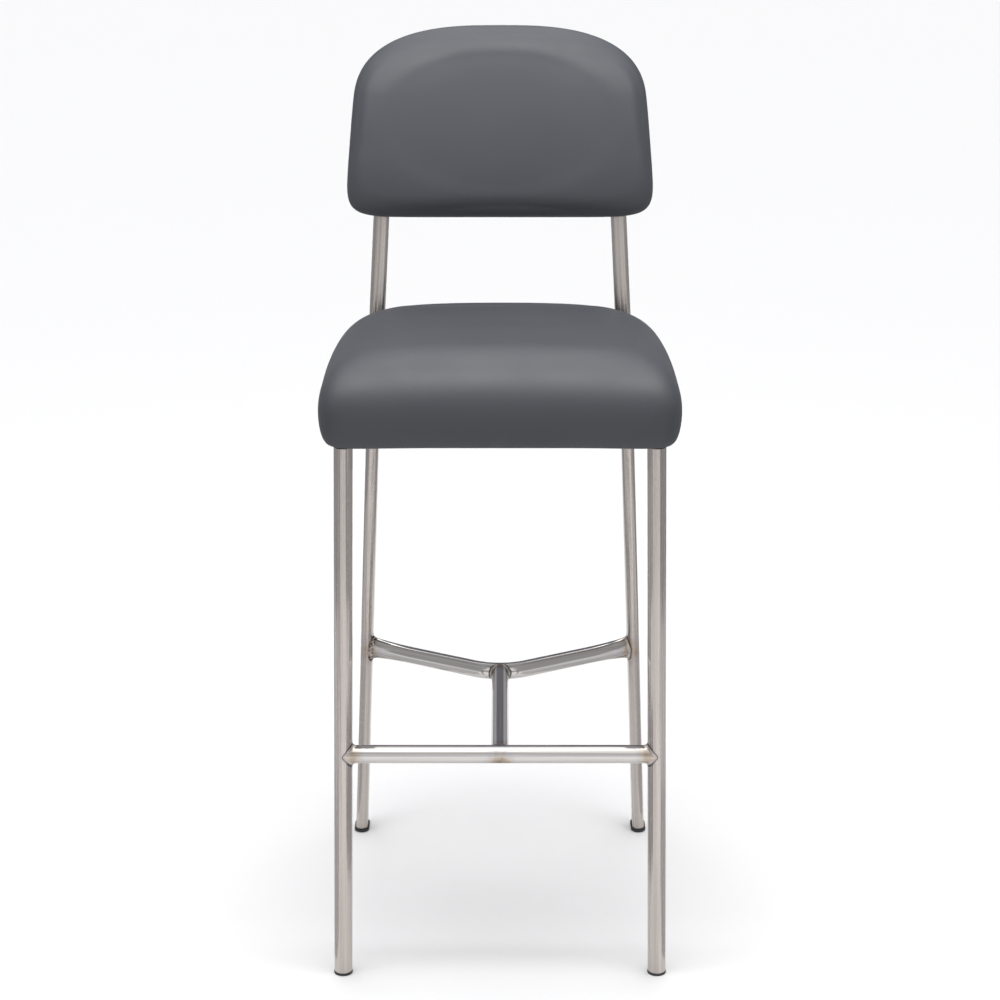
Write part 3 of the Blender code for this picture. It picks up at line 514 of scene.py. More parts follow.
def drawing_lines():
    """Broad and fine streaks left along a tube by drawing and polishing it."""
    def build(shader, given):
        straight = shader.add("ShaderNodeAttribute", attribute_name="straight").outputs["Vector"]
        streaks = {}
        for name, share, detail in (("Broad", 1.0, 1.0), ("Fine", FINE_SHARE, 3.0)):
            width = shader.math("MULTIPLY", given["Width"], share)
            length = shader.math("MULTIPLY", given["Length"], share)
            close = shader.math("DIVIDE", 1.0, width)
            along = shader.math("DIVIDE", 1.0, length)
            pitch = shader.add("ShaderNodeCombineXYZ", {"X": close, "Y": close, "Z": along}).outputs[0]
            streak = shader.noise(shader.vector("MULTIPLY", straight, pitch), scale=1.0, detail=detail)
            streaks[name] = shader.stretch(streak, 0.33, 0.67)
        return streaks
    inputs = (("Width", "NodeSocketFloat", 0.0045), ("Length", "NodeSocketFloat", 0.6))
    outputs = (("Broad", "NodeSocketFloat"), ("Fine", "NodeSocketFloat"))
    return effect("drawing_lines", inputs, outputs, build)


def handling_marks():
    """Soft cloudy patches where a surface was wiped and handled."""
    def build(shader, given):
        pitch = shader.math("DIVIDE", 1.0, given["Size"])
        clouds = shader.noise(shader.place(), pitch, detail=4.0, roughness=0.55, distortion=0.6)
        return {"Marks": shader.stretch(clouds, 0.32, 0.68)}
    inputs = (("Size", "NodeSocketFloat", 0.03),)
    return effect("handling_marks", inputs, (("Marks", "NodeSocketFloat"),), build)


HEAT_TINTS = (
    (0.0, (0.34, 0.25, 0.19, 1)),
    (0.45, (0.62, 0.51, 0.41, 1)),
    (0.68, (0.90, 0.85, 0.78, 1)),
    (0.84, (0.93, 0.94, 0.98, 1)),
    (1.0, (1, 1, 1, 1)),
)


def weld_heat():
    """Straw and blue tint that fades away from a welded joint, alike on both sides of the stool."""
    def build(shader, given):
        parts = shader.add("ShaderNodeSeparateXYZ", {"Vector": shader.place()}).outputs
        mirrored = shader.add("ShaderNodeCombineXYZ", {
            "X": shader.math("ABSOLUTE", parts["X"]), "Y": parts["Y"], "Z": parts["Z"],
        }).outputs[0]
        gap = shader.add("ShaderNodeVectorMath", {0: mirrored, 1: given["Joint"]}, operation="DISTANCE")
        wobble = shader.spread(shader.noise(shader.place(), scale=140.0), 0.7, 1.3)
        ragged = shader.math("MULTIPLY", gap.outputs["Value"], wobble)
        return {"Tint": shader.ramp(shader.math("DIVIDE", ragged, given["Reach"]), HEAT_TINTS)}
    inputs = (("Joint", "NodeSocketVector", (0, 0, 0)), ("Reach", "NodeSocketFloat", 0.03))
    return effect("weld_heat", inputs, (("Tint", "NodeSocketColor"),), build)


GRAIN_WARP = 0.0006
GRAIN_VALLEY = 0.22


def pebble_grain():
    """Pressed grain of small rounded cells, bent a little out of their rows."""
    def build(shader, given):
        place = shader.place()
        pitch = shader.math("DIVIDE", 1.0, given["Cell"])
        warp = shader.add("ShaderNodeTexNoise", {"Vector": place, "Scale": 260.0, "Detail": 1.0})
        warped = {0: warp.outputs["Color"], "Scale": GRAIN_WARP}
        shift = shader.add("ShaderNodeVectorMath", warped, operation="SCALE").outputs[0]
        bent = {"Vector": shader.vector("ADD", place, shift), "Scale": pitch}
        cells = shader.add("ShaderNodeTexVoronoi", bent, feature="DISTANCE_TO_EDGE")
        return {"Height": shader.stretch(cells.outputs["Distance"], 0.0, GRAIN_VALLEY)}
    inputs = (("Cell", "NodeSocketFloat", 0.001),)
    return effect("pebble_grain", inputs, (("Height", "NodeSocketFloat"),), build)


# Materials

def once(build):
    """Material functions make their material on the first call and give it back afterwards.

    The names start with "stool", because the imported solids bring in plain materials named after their
    slots. A part's name ends them where parts of one steel have heat tint in different places.
    """
    def made(*given):
        name = "_".join(["stool", build.__name__, *(item for item in given if isinstance(item, str))])
        return bpy.data.materials.get(name) or build(name, *given)
    return made


def opaque(colour, factor=1.0):
    """Colour with full alpha, made darker or paler by a factor."""
    return (*(value * factor for value in colour), 1)


def steel(name, colour, joints, roughness, streak_depth):
    """Stainless steel with drawing lines, wiped patches, and heat tint round its welded joints."""
    finish = Finish(name)
    lines = finish.group(drawing_lines())
    tone = finish.math("MULTIPLY", finish.math("ADD", lines["Broad"], lines["Fine"]), 0.5)
    base = finish.tint(tone, opaque(colour, 0.78), opaque(colour, 1.16))
    for joint, reach in joints:
        heat = finish.group(weld_heat(), joint=joint, reach=reach)["Tint"]
        base = finish.tint(1.0, base, heat, "MULTIPLY")
    streaked = finish.spread(lines["Fine"], roughness * 0.75, roughness * 1.15)
    wiped = finish.spread(finish.marks(size=0.035), 0.0, roughness * 0.25)
    broad = finish.bump(lines["Broad"], strength=1.0, distance=streak_depth)
    fine = finish.bump(lines["Fine"], strength=0.4, distance=streak_depth * 0.12, normal=broad)
    return finish.dress({
        "Base Color": base,
        "Roughness": finish.math("ADD", streaked, wiped),
        "Normal": fine,
        "Metallic": 1.0,
    })


@once
def satin_steel(name, part, *joints):
    satin = bpy.context.scene.stool_finish.satin
    return steel(name, satin, joints, roughness=0.22, streak_depth=0.00040)


@once
def polished_steel(name, part, *joints):
    polished = bpy.context.scene.stool_finish.polished
    return steel(name, polished, joints, roughness=0.10, streak_depth=0.00020)


# Soot, and painted shade in the crease where a weld meets the post
SOOT_AND_TOE_SHADE = (0.05, 0.045, 0.04, 1)


@once
def weld_steel(name):
    """Ground weld metal, mottled by heat, with soot and painted crease shade along its toe."""
    finish = Finish(name)
    satin = bpy.context.scene.stool_finish.satin
    toe = finish.add("ShaderNodeAttribute", attribute_name="toe").outputs["Fac"]
    marks = finish.marks(size=0.006)
    base = finish.tint(marks, opaque(satin, 0.80), opaque(satin))
    return finish.dress({
        # The toe mask darkens the weld towards the post: soot, and painted crease shade
        "Base Color": finish.tint(toe, base, SOOT_AND_TOE_SHADE),
        "Roughness": finish.spread(marks, 0.20, 0.34),
        "Metallic": 1.0,
    })


@once
def zinc_plate(name):
    """Dull plated steel with a faint warm and cold mottle."""
    finish = Finish(name)
    zinc = bpy.context.scene.stool_finish.zinc
    marks = finish.marks(size=0.004)
    warm = (zinc[0] * 1.04, zinc[1], zinc[2] * 0.90)
    return finish.dress({
        "Base Color": finish.tint(marks, opaque(warm), opaque(zinc)),
        "Roughness": finish.spread(marks, 0.24, 0.42),
        "Metallic": 1.0,
    })


@once
def grey_vinyl(name):
    """Upholstery vinyl: pressed grain, darker in its valleys, with faint wiped patches."""
    finish = Finish(name)
    vinyl = bpy.context.scene.stool_finish.vinyl
    grain = finish.grain(cell=0.0011)
    marks = finish.marks(size=0.09)
    toned = finish.tint(marks, opaque(vinyl, 0.97), opaque(vinyl, 1.03))
    return finish.dress({
        "Base Color": finish.tint(finish.spread(grain, 0.35, 1.0), opaque(vinyl, 0.86), toned),
        "Roughness": finish.spread(marks, 0.51, 0.59),
        "Normal": finish.bump(grain, strength=0.25, distance=0.00008),
        "Specular IOR Level": 0.47,
    })


@once
def black_plastic(name):
    """Moulded plastic with a fine spark-eroded grain and wiped patches."""
    finish = Finish(name)
    plastic = bpy.context.scene.stool_finish.plastic
    marks = finish.marks(size=0.008)
    return finish.dress({
        "Base Color": finish.tint(marks, opaque(plastic), opaque(plastic, 2.2)),
        "Roughness": finish.spread(marks, 0.42, 0.58),
        "Normal": finish.bump(finish.grain(cell=0.0005), strength=0.3, distance=0.00005),
    })


@once
def dust_cloth(name):
    """Black nonwoven cloth with bonded dots and loose fibres."""
    finish = Finish(name)
    cloth = bpy.context.scene.stool_finish.dust_cloth
    fuzz = finish.noise(finish.place(), scale=900.0, detail=3.0)
    height = finish.math("ADD", finish.grain(cell=0.0022), finish.math("MULTIPLY", fuzz, 0.6))
    return finish.dress({
        "Base Color": finish.tint(fuzz, opaque(cloth), opaque(cloth, 2.4)),
        "Roughness": finish.spread(fuzz, 0.8, 1.0),
        "Normal": finish.bump(height, strength=0.5, distance=0.0002),
    })


@once
def plywood(name):
    """Peeled veneer with long figure."""
    finish = Finish(name)
    wood = bpy.context.scene.stool_finish.plywood
    long_grain = finish.vector("MULTIPLY", finish.place(), (14.0, 180.0, 180.0))
    figure = finish.noise(long_grain, scale=1.0, detail=4.0, distortion=0.8)
    return finish.dress({
        "Base Color": finish.tint(figure, opaque(wood, 0.62), opaque(wood)),
        "Roughness": finish.spread(figure, 0.7, 0.85),
    })


# Frame pieces

def tube_radius():
    """Radius of the round tubes, from the front leg's foot."""
    return Post("front_leg_right").width / 2


def bar_height():
    """Height of the footrest's and stretchers' centre lines."""
    return middle(node_points("footrest_bar")).z


def footrest_joint():
    """Where the footrest's centre line meets the right leg's inner face."""
    leg = Post("front_leg_right").at(bar_height())
    return leg - ACROSS * tube_radius()


BEND_STEPS = 12
SLOPE_ROUNDS = 12


def stretcher_path(settings):
    """Right half of the bent stretcher: its round middle bend, and the point where it lands in the leg."""
    leg = Post("rear_leg_right")
    height = bar_height()
    aim = leg.at(height) + BACKWARD * (settings.landing - leg.depth / 2)
    apex = node_points("chevron_stretcher")[:, 1].min() + tube_radius()
    radius = settings.bend_radius
    slope = 0.0
    for _ in range(SLOPE_ROUNDS):
        slope = (aim.y - apex + radius * (math.hypot(1, slope) - 1)) / aim.x
    angle = math.atan(slope)
    centre = Vector((0, apex + radius, height))
    path = []
    for step in range(BEND_STEPS + 1):
        turn = angle * step / BEND_STEPS
        path.append(centre + Vector((radius * math.sin(turn), -radius * math.cos(turn), 0)))
    return path, aim


def surface(piece):
    """Search tree of a piece's faces, which finds where a ray meets them."""
    shape = bmesh.new()
    shape.from_mesh(bpy.data.objects[piece].data)
    tree = BVHTree.FromBMesh(shape)
    shape.free()
    return tree


# Steps round a weld and across it, and lengths: how deep it is closed, how far its toe stands off the post
WELD_STEPS = 144
WELD_PROFILE = 10
WELD_SUNK = 0.0012
WELD_LIFT = 0.00012

# A weld's reach grows where the tubes meet openly and swings round it; its crest and its bar side follow
LEAST_OPENNESS = 0.5
SWINGS = 2.6
SWING_SLICE = 0.3
SWING_SHARE = 0.18
WELD_CREST = 0.10
BAR_REACH = 1.15

RIPPLES = 46
LUMP_REACH = 0.6
LUMP_HEIGHT = 1.4
LUMPS_PER_METRE = 230

# Soot and painted shade in the crease darken a weld's toe, from a share of its profile on, and soot lies in
# the pits of a lumpy one
TOE_SHADE_START = 0.64
TOE_SHADE_BAND = 0.26
SOOT_PER_METRE = 480
CREVICE_SOOT = 0.25
CREVICE_CONTRAST = 3.2


def weld_mesh(name, post, origin, direction, half_width, half_height, settings, lump=0.0):
    """Fillet where a bar, running from origin in a direction, meets a post; closed inside both."""
    forward = direction.normalized()
    across = UP.cross(forward).normalized()
    rise = forward.cross(across)
    seam = []
    for step in range(WELD_STEPS):
        turn = 2 * math.pi * step / WELD_STEPS
        x, y = math.cos(turn), math.sin(turn)
        start = origin + across * (half_width * x) + rise * (half_height * y)
        radial = (across * (x / half_width) + rise * (y / half_height)).normalized()
        corner, normal, _, _ = post.ray_cast(start, forward)
        seam.append((turn, corner, radial, normal))
    rings = []
    toe_soot_and_shade = []
    for step, (turn, corner, radial, normal) in enumerate(seam):
        run = seam[(step + 1) % WELD_STEPS][1] - seam[step - 1][1]
        away = run.cross(normal).normalized()
        if away.dot(radial + forward) < 0:
            away.negate()
        openness = max(LEAST_OPENNESS, (radial - normal * radial.dot(normal)).length)
        swing = noise.noise(Vector((math.cos(turn), math.sin(turn), SWING_SLICE)) * SWINGS)
        reach = settings.weld_leg * openness * (1 + SWING_SHARE * swing) + lump * (LUMP_REACH + swing)
        out = (radial + normal).normalized()
        bar_toe = corner - forward * reach * BAR_REACH
        post_toe = post.find_nearest(corner + away * reach)[0] + normal * WELD_LIFT
        crest = corner + out * reach * WELD_CREST
        ripple = settings.weld_ripple * math.sin(RIPPLES * turn) * openness
        ring = []
        for index in range(WELD_PROFILE + 1):
            share = index / WELD_PROFILE
            point = bar_toe * (1 - share) ** 2 + crest * (2 * share * (1 - share)) + post_toe * share ** 2
            height = math.sin(math.pi * share)
            bumps = noise.noise(point * LUMPS_PER_METRE)
            ring.append(point + out * height * (ripple + lump * bumps * LUMP_HEIGHT))
            pits = CREVICE_SOOT - CREVICE_CONTRAST * noise.noise(point * SOOT_PER_METRE)
            crevice = max(0.0, pits) if lump else 0.0
            # Darkest towards the post: soot, and painted shade where the weld meets the post
            toe_soot_and_shade.append(min(1.0, crevice + max(0.0, (share - TOE_SHADE_START) / TOE_SHADE_BAND)))
        ring.append(corner - (radial + normal) * WELD_SUNK)
        toe_soot_and_shade.append(1.0)
        rings.append(ring)
    mesh = loft_mesh(name, rings, cyclic=True)
    layer = mesh.attributes.new("toe", "FLOAT", "POINT")
    layer.data.foreach_set("value", np.array(toe_soot_and_shade, np.float32))
    return mesh


# How far heat tint reaches from a welded joint, by the part that shows it
FRONT_LEG_HEAT = 0.017
REAR_LEG_HEAT = 0.030
FOOTREST_END_HEAT = 0.020
FOOTREST_MIDDLE_HEAT = 0.025
CHEVRON_END_HEAT = 0.034
CHEVRON_MIDDLE_HEAT = 0.020
TIE_FRONT_HEAT = 0.016

CAP_ROUNDING = 1.6


class STOOL_OT_legs(bpy.types.Operator):
    """Round front legs, flat oval rear legs with their welded caps, and the uprights behind the back"""

    bl_idname = "stool.legs"
    bl_label = "Legs and uprights"

    def execute(self, context):
        settings = context.scene.stool_frame
        edge = settings.edge_rounding
        rest = footrest_joint()
        _, landing = stretcher_path(settings)
        inner_face = landing - ACROSS * (Post("rear_leg_right").width / 2 + settings.weld_leg)
        for side_name, _ in SIDES:
            for part, joints in (
                ("front_leg", ((rest, FRONT_LEG_HEAT),)),
                ("rear_leg", ((inner_face, REAR_LEG_HEAT),)),
                ("back_upright", ()),
            ):
                node = f"{part}_{side_name}"
                post = Post(node)
                section = tube_section(post.width, post.depth, settings.tube_sides)
                mesh = post_mesh(node, post, section, post.low, post.high, edge)
                add_piece(node + "_tube", mesh, satin_steel(part, *joints), node)
            self.add_cap(side_name, settings)
        return {"FINISHED"}

    def add_cap(self, side_name, settings):
        node = f"rear_leg_cap_{side_name}"
        cap = Post(node)
        section = tube_section(cap.width, cap.depth, settings.tube_sides)
        radius = settings.edge_rounding * CAP_ROUNDING
        mesh = post_mesh(node, cap, section, cap.low, cap.high, radius)
        add_piece(node + "_plate", mesh, satin_steel("carrier"), node)


ARM_STEPS = 40


class STOOL_OT_stretchers(bpy.types.Operator):
    """Footrest bar, bent rear stretcher with pressed ends, and the tube that ties them"""

    bl_idname = "stool.stretchers"
    bl_label = "Footrest and stretchers"

    def execute(self, context):
        settings = context.scene.stool_frame
        section = circle(tube_radius(), settings.tube_sides)
        height = bar_height()
        rest = footrest_joint()
        half_path, landing = stretcher_path(settings)
        front = Vector((0, rest.y, height))
        tie_joint = front + BACKWARD * tube_radius()
        bend_joint = half_path[0] - BACKWARD * tube_radius()

        ends = [Post(f"front_leg_{side_name}").at(height) for side_name, _ in SIDES]
        bar = straight_tube("footrest_bar", section, ends, BACKWARD)
        under = front - UP * tube_radius()
        finish = polished_steel("footrest", (rest, FOOTREST_END_HEAT), (under, FOOTREST_MIDDLE_HEAT))
        add_piece("footrest_tube", bar, finish, "footrest_bar")

        chevron = tube_mesh("chevron_stretcher", section, self.bent_stations(settings, half_path, landing))
        finish = polished_steel("chevron", (landing, CHEVRON_END_HEAT), (bend_joint, CHEVRON_MIDDLE_HEAT))
        add_piece("chevron_tube", chevron, finish, "chevron_stretcher")

        tie = straight_tube("centre_stretcher", section, (front, half_path[0]), ACROSS)
        finish = polished_steel("tie", (tie_joint, TIE_FRONT_HEAT), (bend_joint, CHEVRON_MIDDLE_HEAT))
        add_piece("centre_stretcher_tube", tie, finish, "centre_stretcher")
        return {"FINISHED"}

    def bent_stations(self, settings, half_path, landing):
        """Stations from the left leg round the bend to the right leg, pressed flat near the legs."""
        radius = tube_radius()
        leg_face = landing - (landing - half_path[-1]).normalized() * radius
        arm = [half_path[-1].lerp(landing, (step + 1) / ARM_STEPS) for step in range(ARM_STEPS)]
        right = half_path + arm
        left = [Vector((-point.x, point.y, point.z)) for point in right[:0:-1]]
        path = left + right
        stations = []
        for index, point in enumerate(path):
            before = path[max(index - 1, 0)]
            after = path[min(index + 1, len(path) - 1)]
            forward = (after - before).normalized()
            gap = (Vector((abs(point.x), point.y, point.z)) - leg_face).length
            beyond = abs(point.x) > leg_face.x
            share = 1.0 if beyond else max(0.0, 1 - gap / settings.pinch_length)
            press = share * share
            width = 1 + press * (settings.pinch_width / 2 / radius - 1)
            rise = 1 + press * (settings.pinch_height / 2 / radius - 1)
            stations.append((point, UP.cross(forward).normalized(), UP, width, rise))
        return stations


# A weld's seam starts just inside the tube that ends in it, as shares of its radius
LEG_SEAM = 0.996
TIE_SEAM = 0.99


class STOOL_OT_welds(bpy.types.Operator):
    """Fillet welds at the six tube joints; the left rear one is lumpy, the others are ground smooth"""

    bl_idname = "stool.welds"
    bl_label = "Welds"

    def execute(self, context):
        settings = context.scene.stool_frame
        height = bar_height()
        half_path, landing = stretcher_path(settings)
        front = Vector((0, Post("front_leg_right").foot.y, height))
        leg_seam = [tube_radius() * LEG_SEAM] * 2
        tie_seam = [tube_radius() * TIE_SEAM] * 2
        pinch_seam = (settings.pinch_width / 2, settings.pinch_height / 2)
        for side_name, side in SIDES:
            leg = f"front_leg_{side_name}_tube"
            self.add_weld(f"footrest_weld_{side_name}", leg, front, ACROSS * side, leg_seam)

            leg = f"rear_leg_{side_name}_tube"
            start = Vector((side * half_path[-1].x, half_path[-1].y, height))
            run = Vector((side * landing.x, landing.y, height)) - start
            lump = settings.weld_lump if side < 0 else 0.0
            self.add_weld(f"chevron_weld_{side_name}", leg, start, run, pinch_seam, lump)

        tie_middle = (front + half_path[0]) / 2
        self.add_weld("stretcher_weld_front", "footrest_tube", tie_middle, -BACKWARD, tie_seam)
        self.add_weld("stretcher_weld_rear", "chevron_tube", tie_middle, BACKWARD, tie_seam)
        return {"FINISHED"}

    def add_weld(self, node, target, origin, direction, seam, lump=0.0):
        settings = bpy.context.scene.stool_frame
        mesh = weld_mesh(node, surface(target), origin, direction, *seam, settings, lump)
        add_piece(node + "_fillet", mesh, weld_steel(), node)


# A glide's or plug's flange: its gap to the tube's end, and its edge rounding as a share of its height
FLANGE_GAP = 0.0003
FLANGE_ROUNDING = 0.35


class STOOL_OT_plastics(bpy.types.Operator):
    """Glides under the four feet and plugs in the open tops of the tubes"""

    bl_idname = "stool.plastics"
    bl_label = "Glides and plugs"

    def execute(self, context):
        settings = context.scene.stool_frame
        for side_name, _ in SIDES:
            for part, host, is_foot in (
                ("front_glide", "front_leg", True),
                ("rear_glide", "rear_leg", True),
                ("front_leg_plug", "front_leg", False),
                ("upright_plug", "back_upright", False),
            ):
                self.add_cap(f"{part}_{side_name}", Post(f"{host}_{side_name}"), is_foot, settings)
        return {"FINISHED"}

    def add_cap(self, node, host, is_foot, settings):
        """The visible flange of a glide or plug, with soft edges."""
        points = node_points(node)
        low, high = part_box(node)
        edge = low.z if is_foot else high.z
        rim = points[abs(points[:, 2] - edge) < END_BAND]
        width, depth = np.ptp(rim, axis=0)[:2]
        flange_end = (host.low - FLANGE_GAP) if is_foot else (host.high + FLANGE_GAP)
        bottom, top = (low.z, flange_end) if is_foot else (flange_end, high.z)
        section = tube_section(width, depth, settings.tube_sides)
        mesh = post_mesh(node, host, section, bottom, top, (top - bottom) * FLANGE_ROUNDING)
        add_piece(node + "_cap", mesh, black_plastic(), node)


RAIL_END_BAND = 0.006
RAIL_FLATNESS = 1.4


class STOOL_OT_seat_carrier(bpy.types.Operator):
    """Flat oval rails and flat straps under the seat"""

    bl_idname = "stool.seat_carrier"
    bl_label = "Seat carrier"

    def execute(self, context):
        settings = context.scene.stool_frame
        finish = satin_steel("carrier")
        for node in ("side_rail_left", "side_rail_right", "rear_rail"):
            low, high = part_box(node)
            points = node_points(node)
            axis = 0 if node == "rear_rail" else 1
            run = points[:, axis]
            start = middle(points[run < run.min() + RAIL_END_BAND])
            end = middle(points[run > run.max() - RAIL_END_BAND])
            start.z = end.z = (low.z + high.z) / 2
            forward = (end - start).normalized()
            across = UP.cross(forward).normalized()
            size = high - low
            width = size.y if axis == 0 else RAIL_FLATNESS * size.z
            section = tube_section(width, size.z, settings.tube_sides)
            mesh = straight_tube(node, section, (start, end), across)
            add_piece(node + "_tube", mesh, finish, node)

        for node in ("seat_strap_front", "seat_strap_rear"):
            low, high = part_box(node)
            points = node_points(node)
            front_reach = abs(points[points[:, 1] < low.y + END_BAND, 0]).max()
            rear_reach = abs(points[points[:, 1] > high.y - END_BAND, 0]).max()

            def outline(inset):
                front, rear = low.y + inset, high.y - inset
                return [(-front_reach, front), (front_reach, front), (rear_reach, rear), (-rear_reach, rear)]
            mesh = plate_mesh(node, outline, low.z, high.z, settings.edge_rounding)
            store_straight(mesh, [(point.co.y, point.co.z, point.co.x) for point in mesh.vertices])
            add_piece(node + "_plate", mesh, finish, node)
        return {"FINISHED"}


BOLT_SIDES = 36
BOLT_STEPS = 6
BOLT_SINK = 0.002
BOLT_BREAK = 0.0002

# A bolt head's forms as shares of its radius: its face, the broken edge, the shank, the crown and the key
BOLT_FACE = 0.9
BOLT_EDGE = 0.985
BOLT_SHANK = 0.5
BOLT_CROWN = 0.60
BOLT_KEY = 0.40

# The plain rim of a bolt head as a share of its height
BOLT_RIM = 0.62

WASHER_SIDES = 48
WASHER_HOLE = 0.52
WASHER_CHAMFER = 0.25


class STOOL_OT_fasteners(bpy.types.Operator):
    """Button head bolts with hexagon sockets, and washers"""

    bl_idname = "stool.fasteners"
    bl_label = "Bolts and washers"

    def execute(self, context):
        level = np.identity(3)
        tilted = back_axes()
        for row in ("front", "rear"):
            for side_name, _ in SIDES:
                place = f"{row}_{side_name}"
                self.add_bolt(f"seat_bolt_{place}", level)
                self.add_washer(f"seat_washer_{place}")
        for row in ("lower", "upper"):
            for side_name, _ in SIDES:
                self.add_bolt(f"back_bolt_{row}_{side_name}", tilted)
        return {"FINISHED"}

    def add_bolt(self, node, axes):
        """Bolt head from the start of its shank round the crown to the floor of its socket."""
        low, high = box_along(node, axes)
        head = (high[0] - low[0]) / 2
        centre = (low + high)[:2] / 2
        points = node_points(node) @ axes.T
        wide = points[np.hypot(*(points[:, :2] - centre).T) > head * BOLT_FACE]
        face = wide[:, 2].max()
        rim = low[2] + (face - low[2]) * BOLT_RIM
        shank = circle(head * BOLT_SHANK, BOLT_SIDES)
        rings = [(shank, face + BOLT_SINK), (shank, face)]
        rings += [(circle(head * BOLT_EDGE, BOLT_SIDES), face), (circle(head, BOLT_SIDES), face - BOLT_BREAK)]
        for step in range(1, BOLT_STEPS + 1):
            turn = math.pi / 2 * step / BOLT_STEPS
            radius = head * (BOLT_CROWN + (1 - BOLT_CROWN) * math.cos(turn))
            rings.append((circle(radius, BOLT_SIDES), rim - (rim - low[2]) * math.sin(turn)))
        socket = self.hexagon(head * BOLT_KEY)
        rings += [(socket, low[2]), (socket, low[2] + BOLT_SINK)]
        mesh = loft_mesh(node, [
            [Vector(np.array((centre[0] + x, centre[1] + y, z)) @ axes) for x, y in ring] for ring, z in rings
        ])
        add_piece(node + "_head", mesh, zinc_plate(), node)

    def hexagon(self, corner):
        """Six flat sides with as many points as the bolt's round rings."""
        sixth = math.pi / 3
        points = []
        for step in range(BOLT_SIDES):
            turn = 2 * math.pi * step / BOLT_SIDES
            reach = corner * math.cos(sixth / 2) / math.cos(turn % sixth - sixth / 2)
            points.append((reach * math.cos(turn), reach * math.sin(turn)))
        return points

    def add_washer(self, node):
        low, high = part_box(node)
        centre = (low + high) / 2
        outer = (high.x - low.x) / 2
        hole = outer * WASHER_HOLE
        chamfer = (high.z - low.z) * WASHER_CHAMFER
        profile = (
            (hole, low.z), (outer - chamfer, low.z), (outer, low.z + chamfer),
            (outer, high.z - chamfer), (outer - chamfer, high.z), (hole, high.z),
        )
        rings = [[(centre.x + x * radius, centre.y + y * radius, level) for radius, level in profile]
                 for x, y in circle(1, WASHER_SIDES)]
        add_piece(node + "_ring", loft_mesh(node, rings, cyclic=True), zinc_plate(), node)


# Cushions

# Points round a pad, and its rings across the flat side, round both edges and to the middle of the top
CUSHION_SIDES = 160
FLAT_STEPS = 8
BOTTOM_STEPS = 8
TOP_STEPS = 24
CROWN_STEPS = 24
CORNER_BIAS = 4.0

# How square a pad is: the front and rear halves of its outline, and its top edge at the sides, front and rear
SEAT_PLAN_POWERS = (12.0, 5.0)
SEAT_ROLL_POWERS = (2.2, 2.0, 2.2)
BACK_PLAN_POWERS = (10.0, 2.75)
BACK_ROLL_POWERS = (2.5, 2.5, 2.5)


def clamp(value):
    return max(0.0, min(1.0, value))


def plan_outline(half_width, front, rear, powers, tapers):
    """Rounded outline round the origin: two superellipse halves, each narrowing with its depth."""
    points = []
    for index in range(CUSHION_SIDES):
        turn = 2 * math.pi * (index + 0.5) / CUSHION_SIDES
        x = math.copysign(abs(math.cos(turn)) ** (2 / CORNER_BIAS), math.cos(turn))
        y = math.copysign(abs(math.sin(turn)) ** (2 / CORNER_BIAS), math.sin(turn))
        half = 1 if y > 0 else 0
        power = powers[half]
        reach = (abs(x) ** power + abs(y) ** power) ** (1 / power)
        depth = y / reach * (rear if half else front)
        points.append((x / reach * (half_width - tapers[half] * abs(depth)), depth))
    return points


def cushion_rings(plan, height, widest, bottom_roll, rolls, roll_powers):
    """Rings of a pad's skin, from the middle of its flat side round the edge to the middle of its top.

    The rolls are the top edge's insets at the sides, the front and the rear. A higher power makes a roll
    squarer.
    """
    rings = []
    flat = plan(bottom_roll, bottom_roll, bottom_roll)
    for step in range(1, FLAT_STEPS):
        share = step / FLAT_STEPS
        rings.append([(x * share, y * share, 0) for x, y in flat])
    for step in range(BOTTOM_STEPS + 1):
        turn = math.pi / 2 * step / BOTTOM_STEPS
        inset = bottom_roll * (1 - math.sin(turn))
        rings.append([(x, y, widest * (1 - math.cos(turn))) for x, y in plan(inset, inset, inset)])
    for step in range(1, TOP_STEPS + 1):
        turn = math.pi / 2 * step / TOP_STEPS
        rise = math.sin(turn) ** (2 / roll_powers[0])
        insets = [roll * (1 - math.cos(turn) ** (2 / power)) for roll, power in zip(rolls, roll_powers)]
        rings.append([(x, y, widest + (height(x, y) - widest) * rise) for x, y in plan(*insets)])
    edge = plan(*rolls)
    for step in range(1, CROWN_STEPS):
        share = 1 - step / CROWN_STEPS
        rings.append([(x * share, y * share, height(x * share, y * share)) for x, y in edge])
    return rings


RELAX_FACTOR = 0.5
RELAX_ROUNDS = 4
HELD_DEPTH = 0.001
SWELL_FRAMES = 20
SMOOTHING_ROUNDS = 60
NEIGHBOURS = 24


def taken_off(item):
    """Mesh of an object as its modifiers leave it; the object itself is removed."""
    mesh = bpy.data.meshes.new_from_object(item.evaluated_get(bpy.context.evaluated_depsgraph_get()))
    bpy.data.objects.remove(item, do_unlink=True)
    return mesh


def even_skin(mesh, voxel):
    """Copy of a closed mesh with evenly spaced points, which cloth needs."""
    item = add_object("even_skin", mesh)
    remesh = item.modifiers.new("remesh", "REMESH")
    remesh.mode = "VOXEL"
    remesh.voxel_size = voxel
    relax = item.modifiers.new("relax", "SMOOTH")
    relax.factor = RELAX_FACTOR
    relax.iterations = RELAX_ROUNDS
    return taken_off(item)


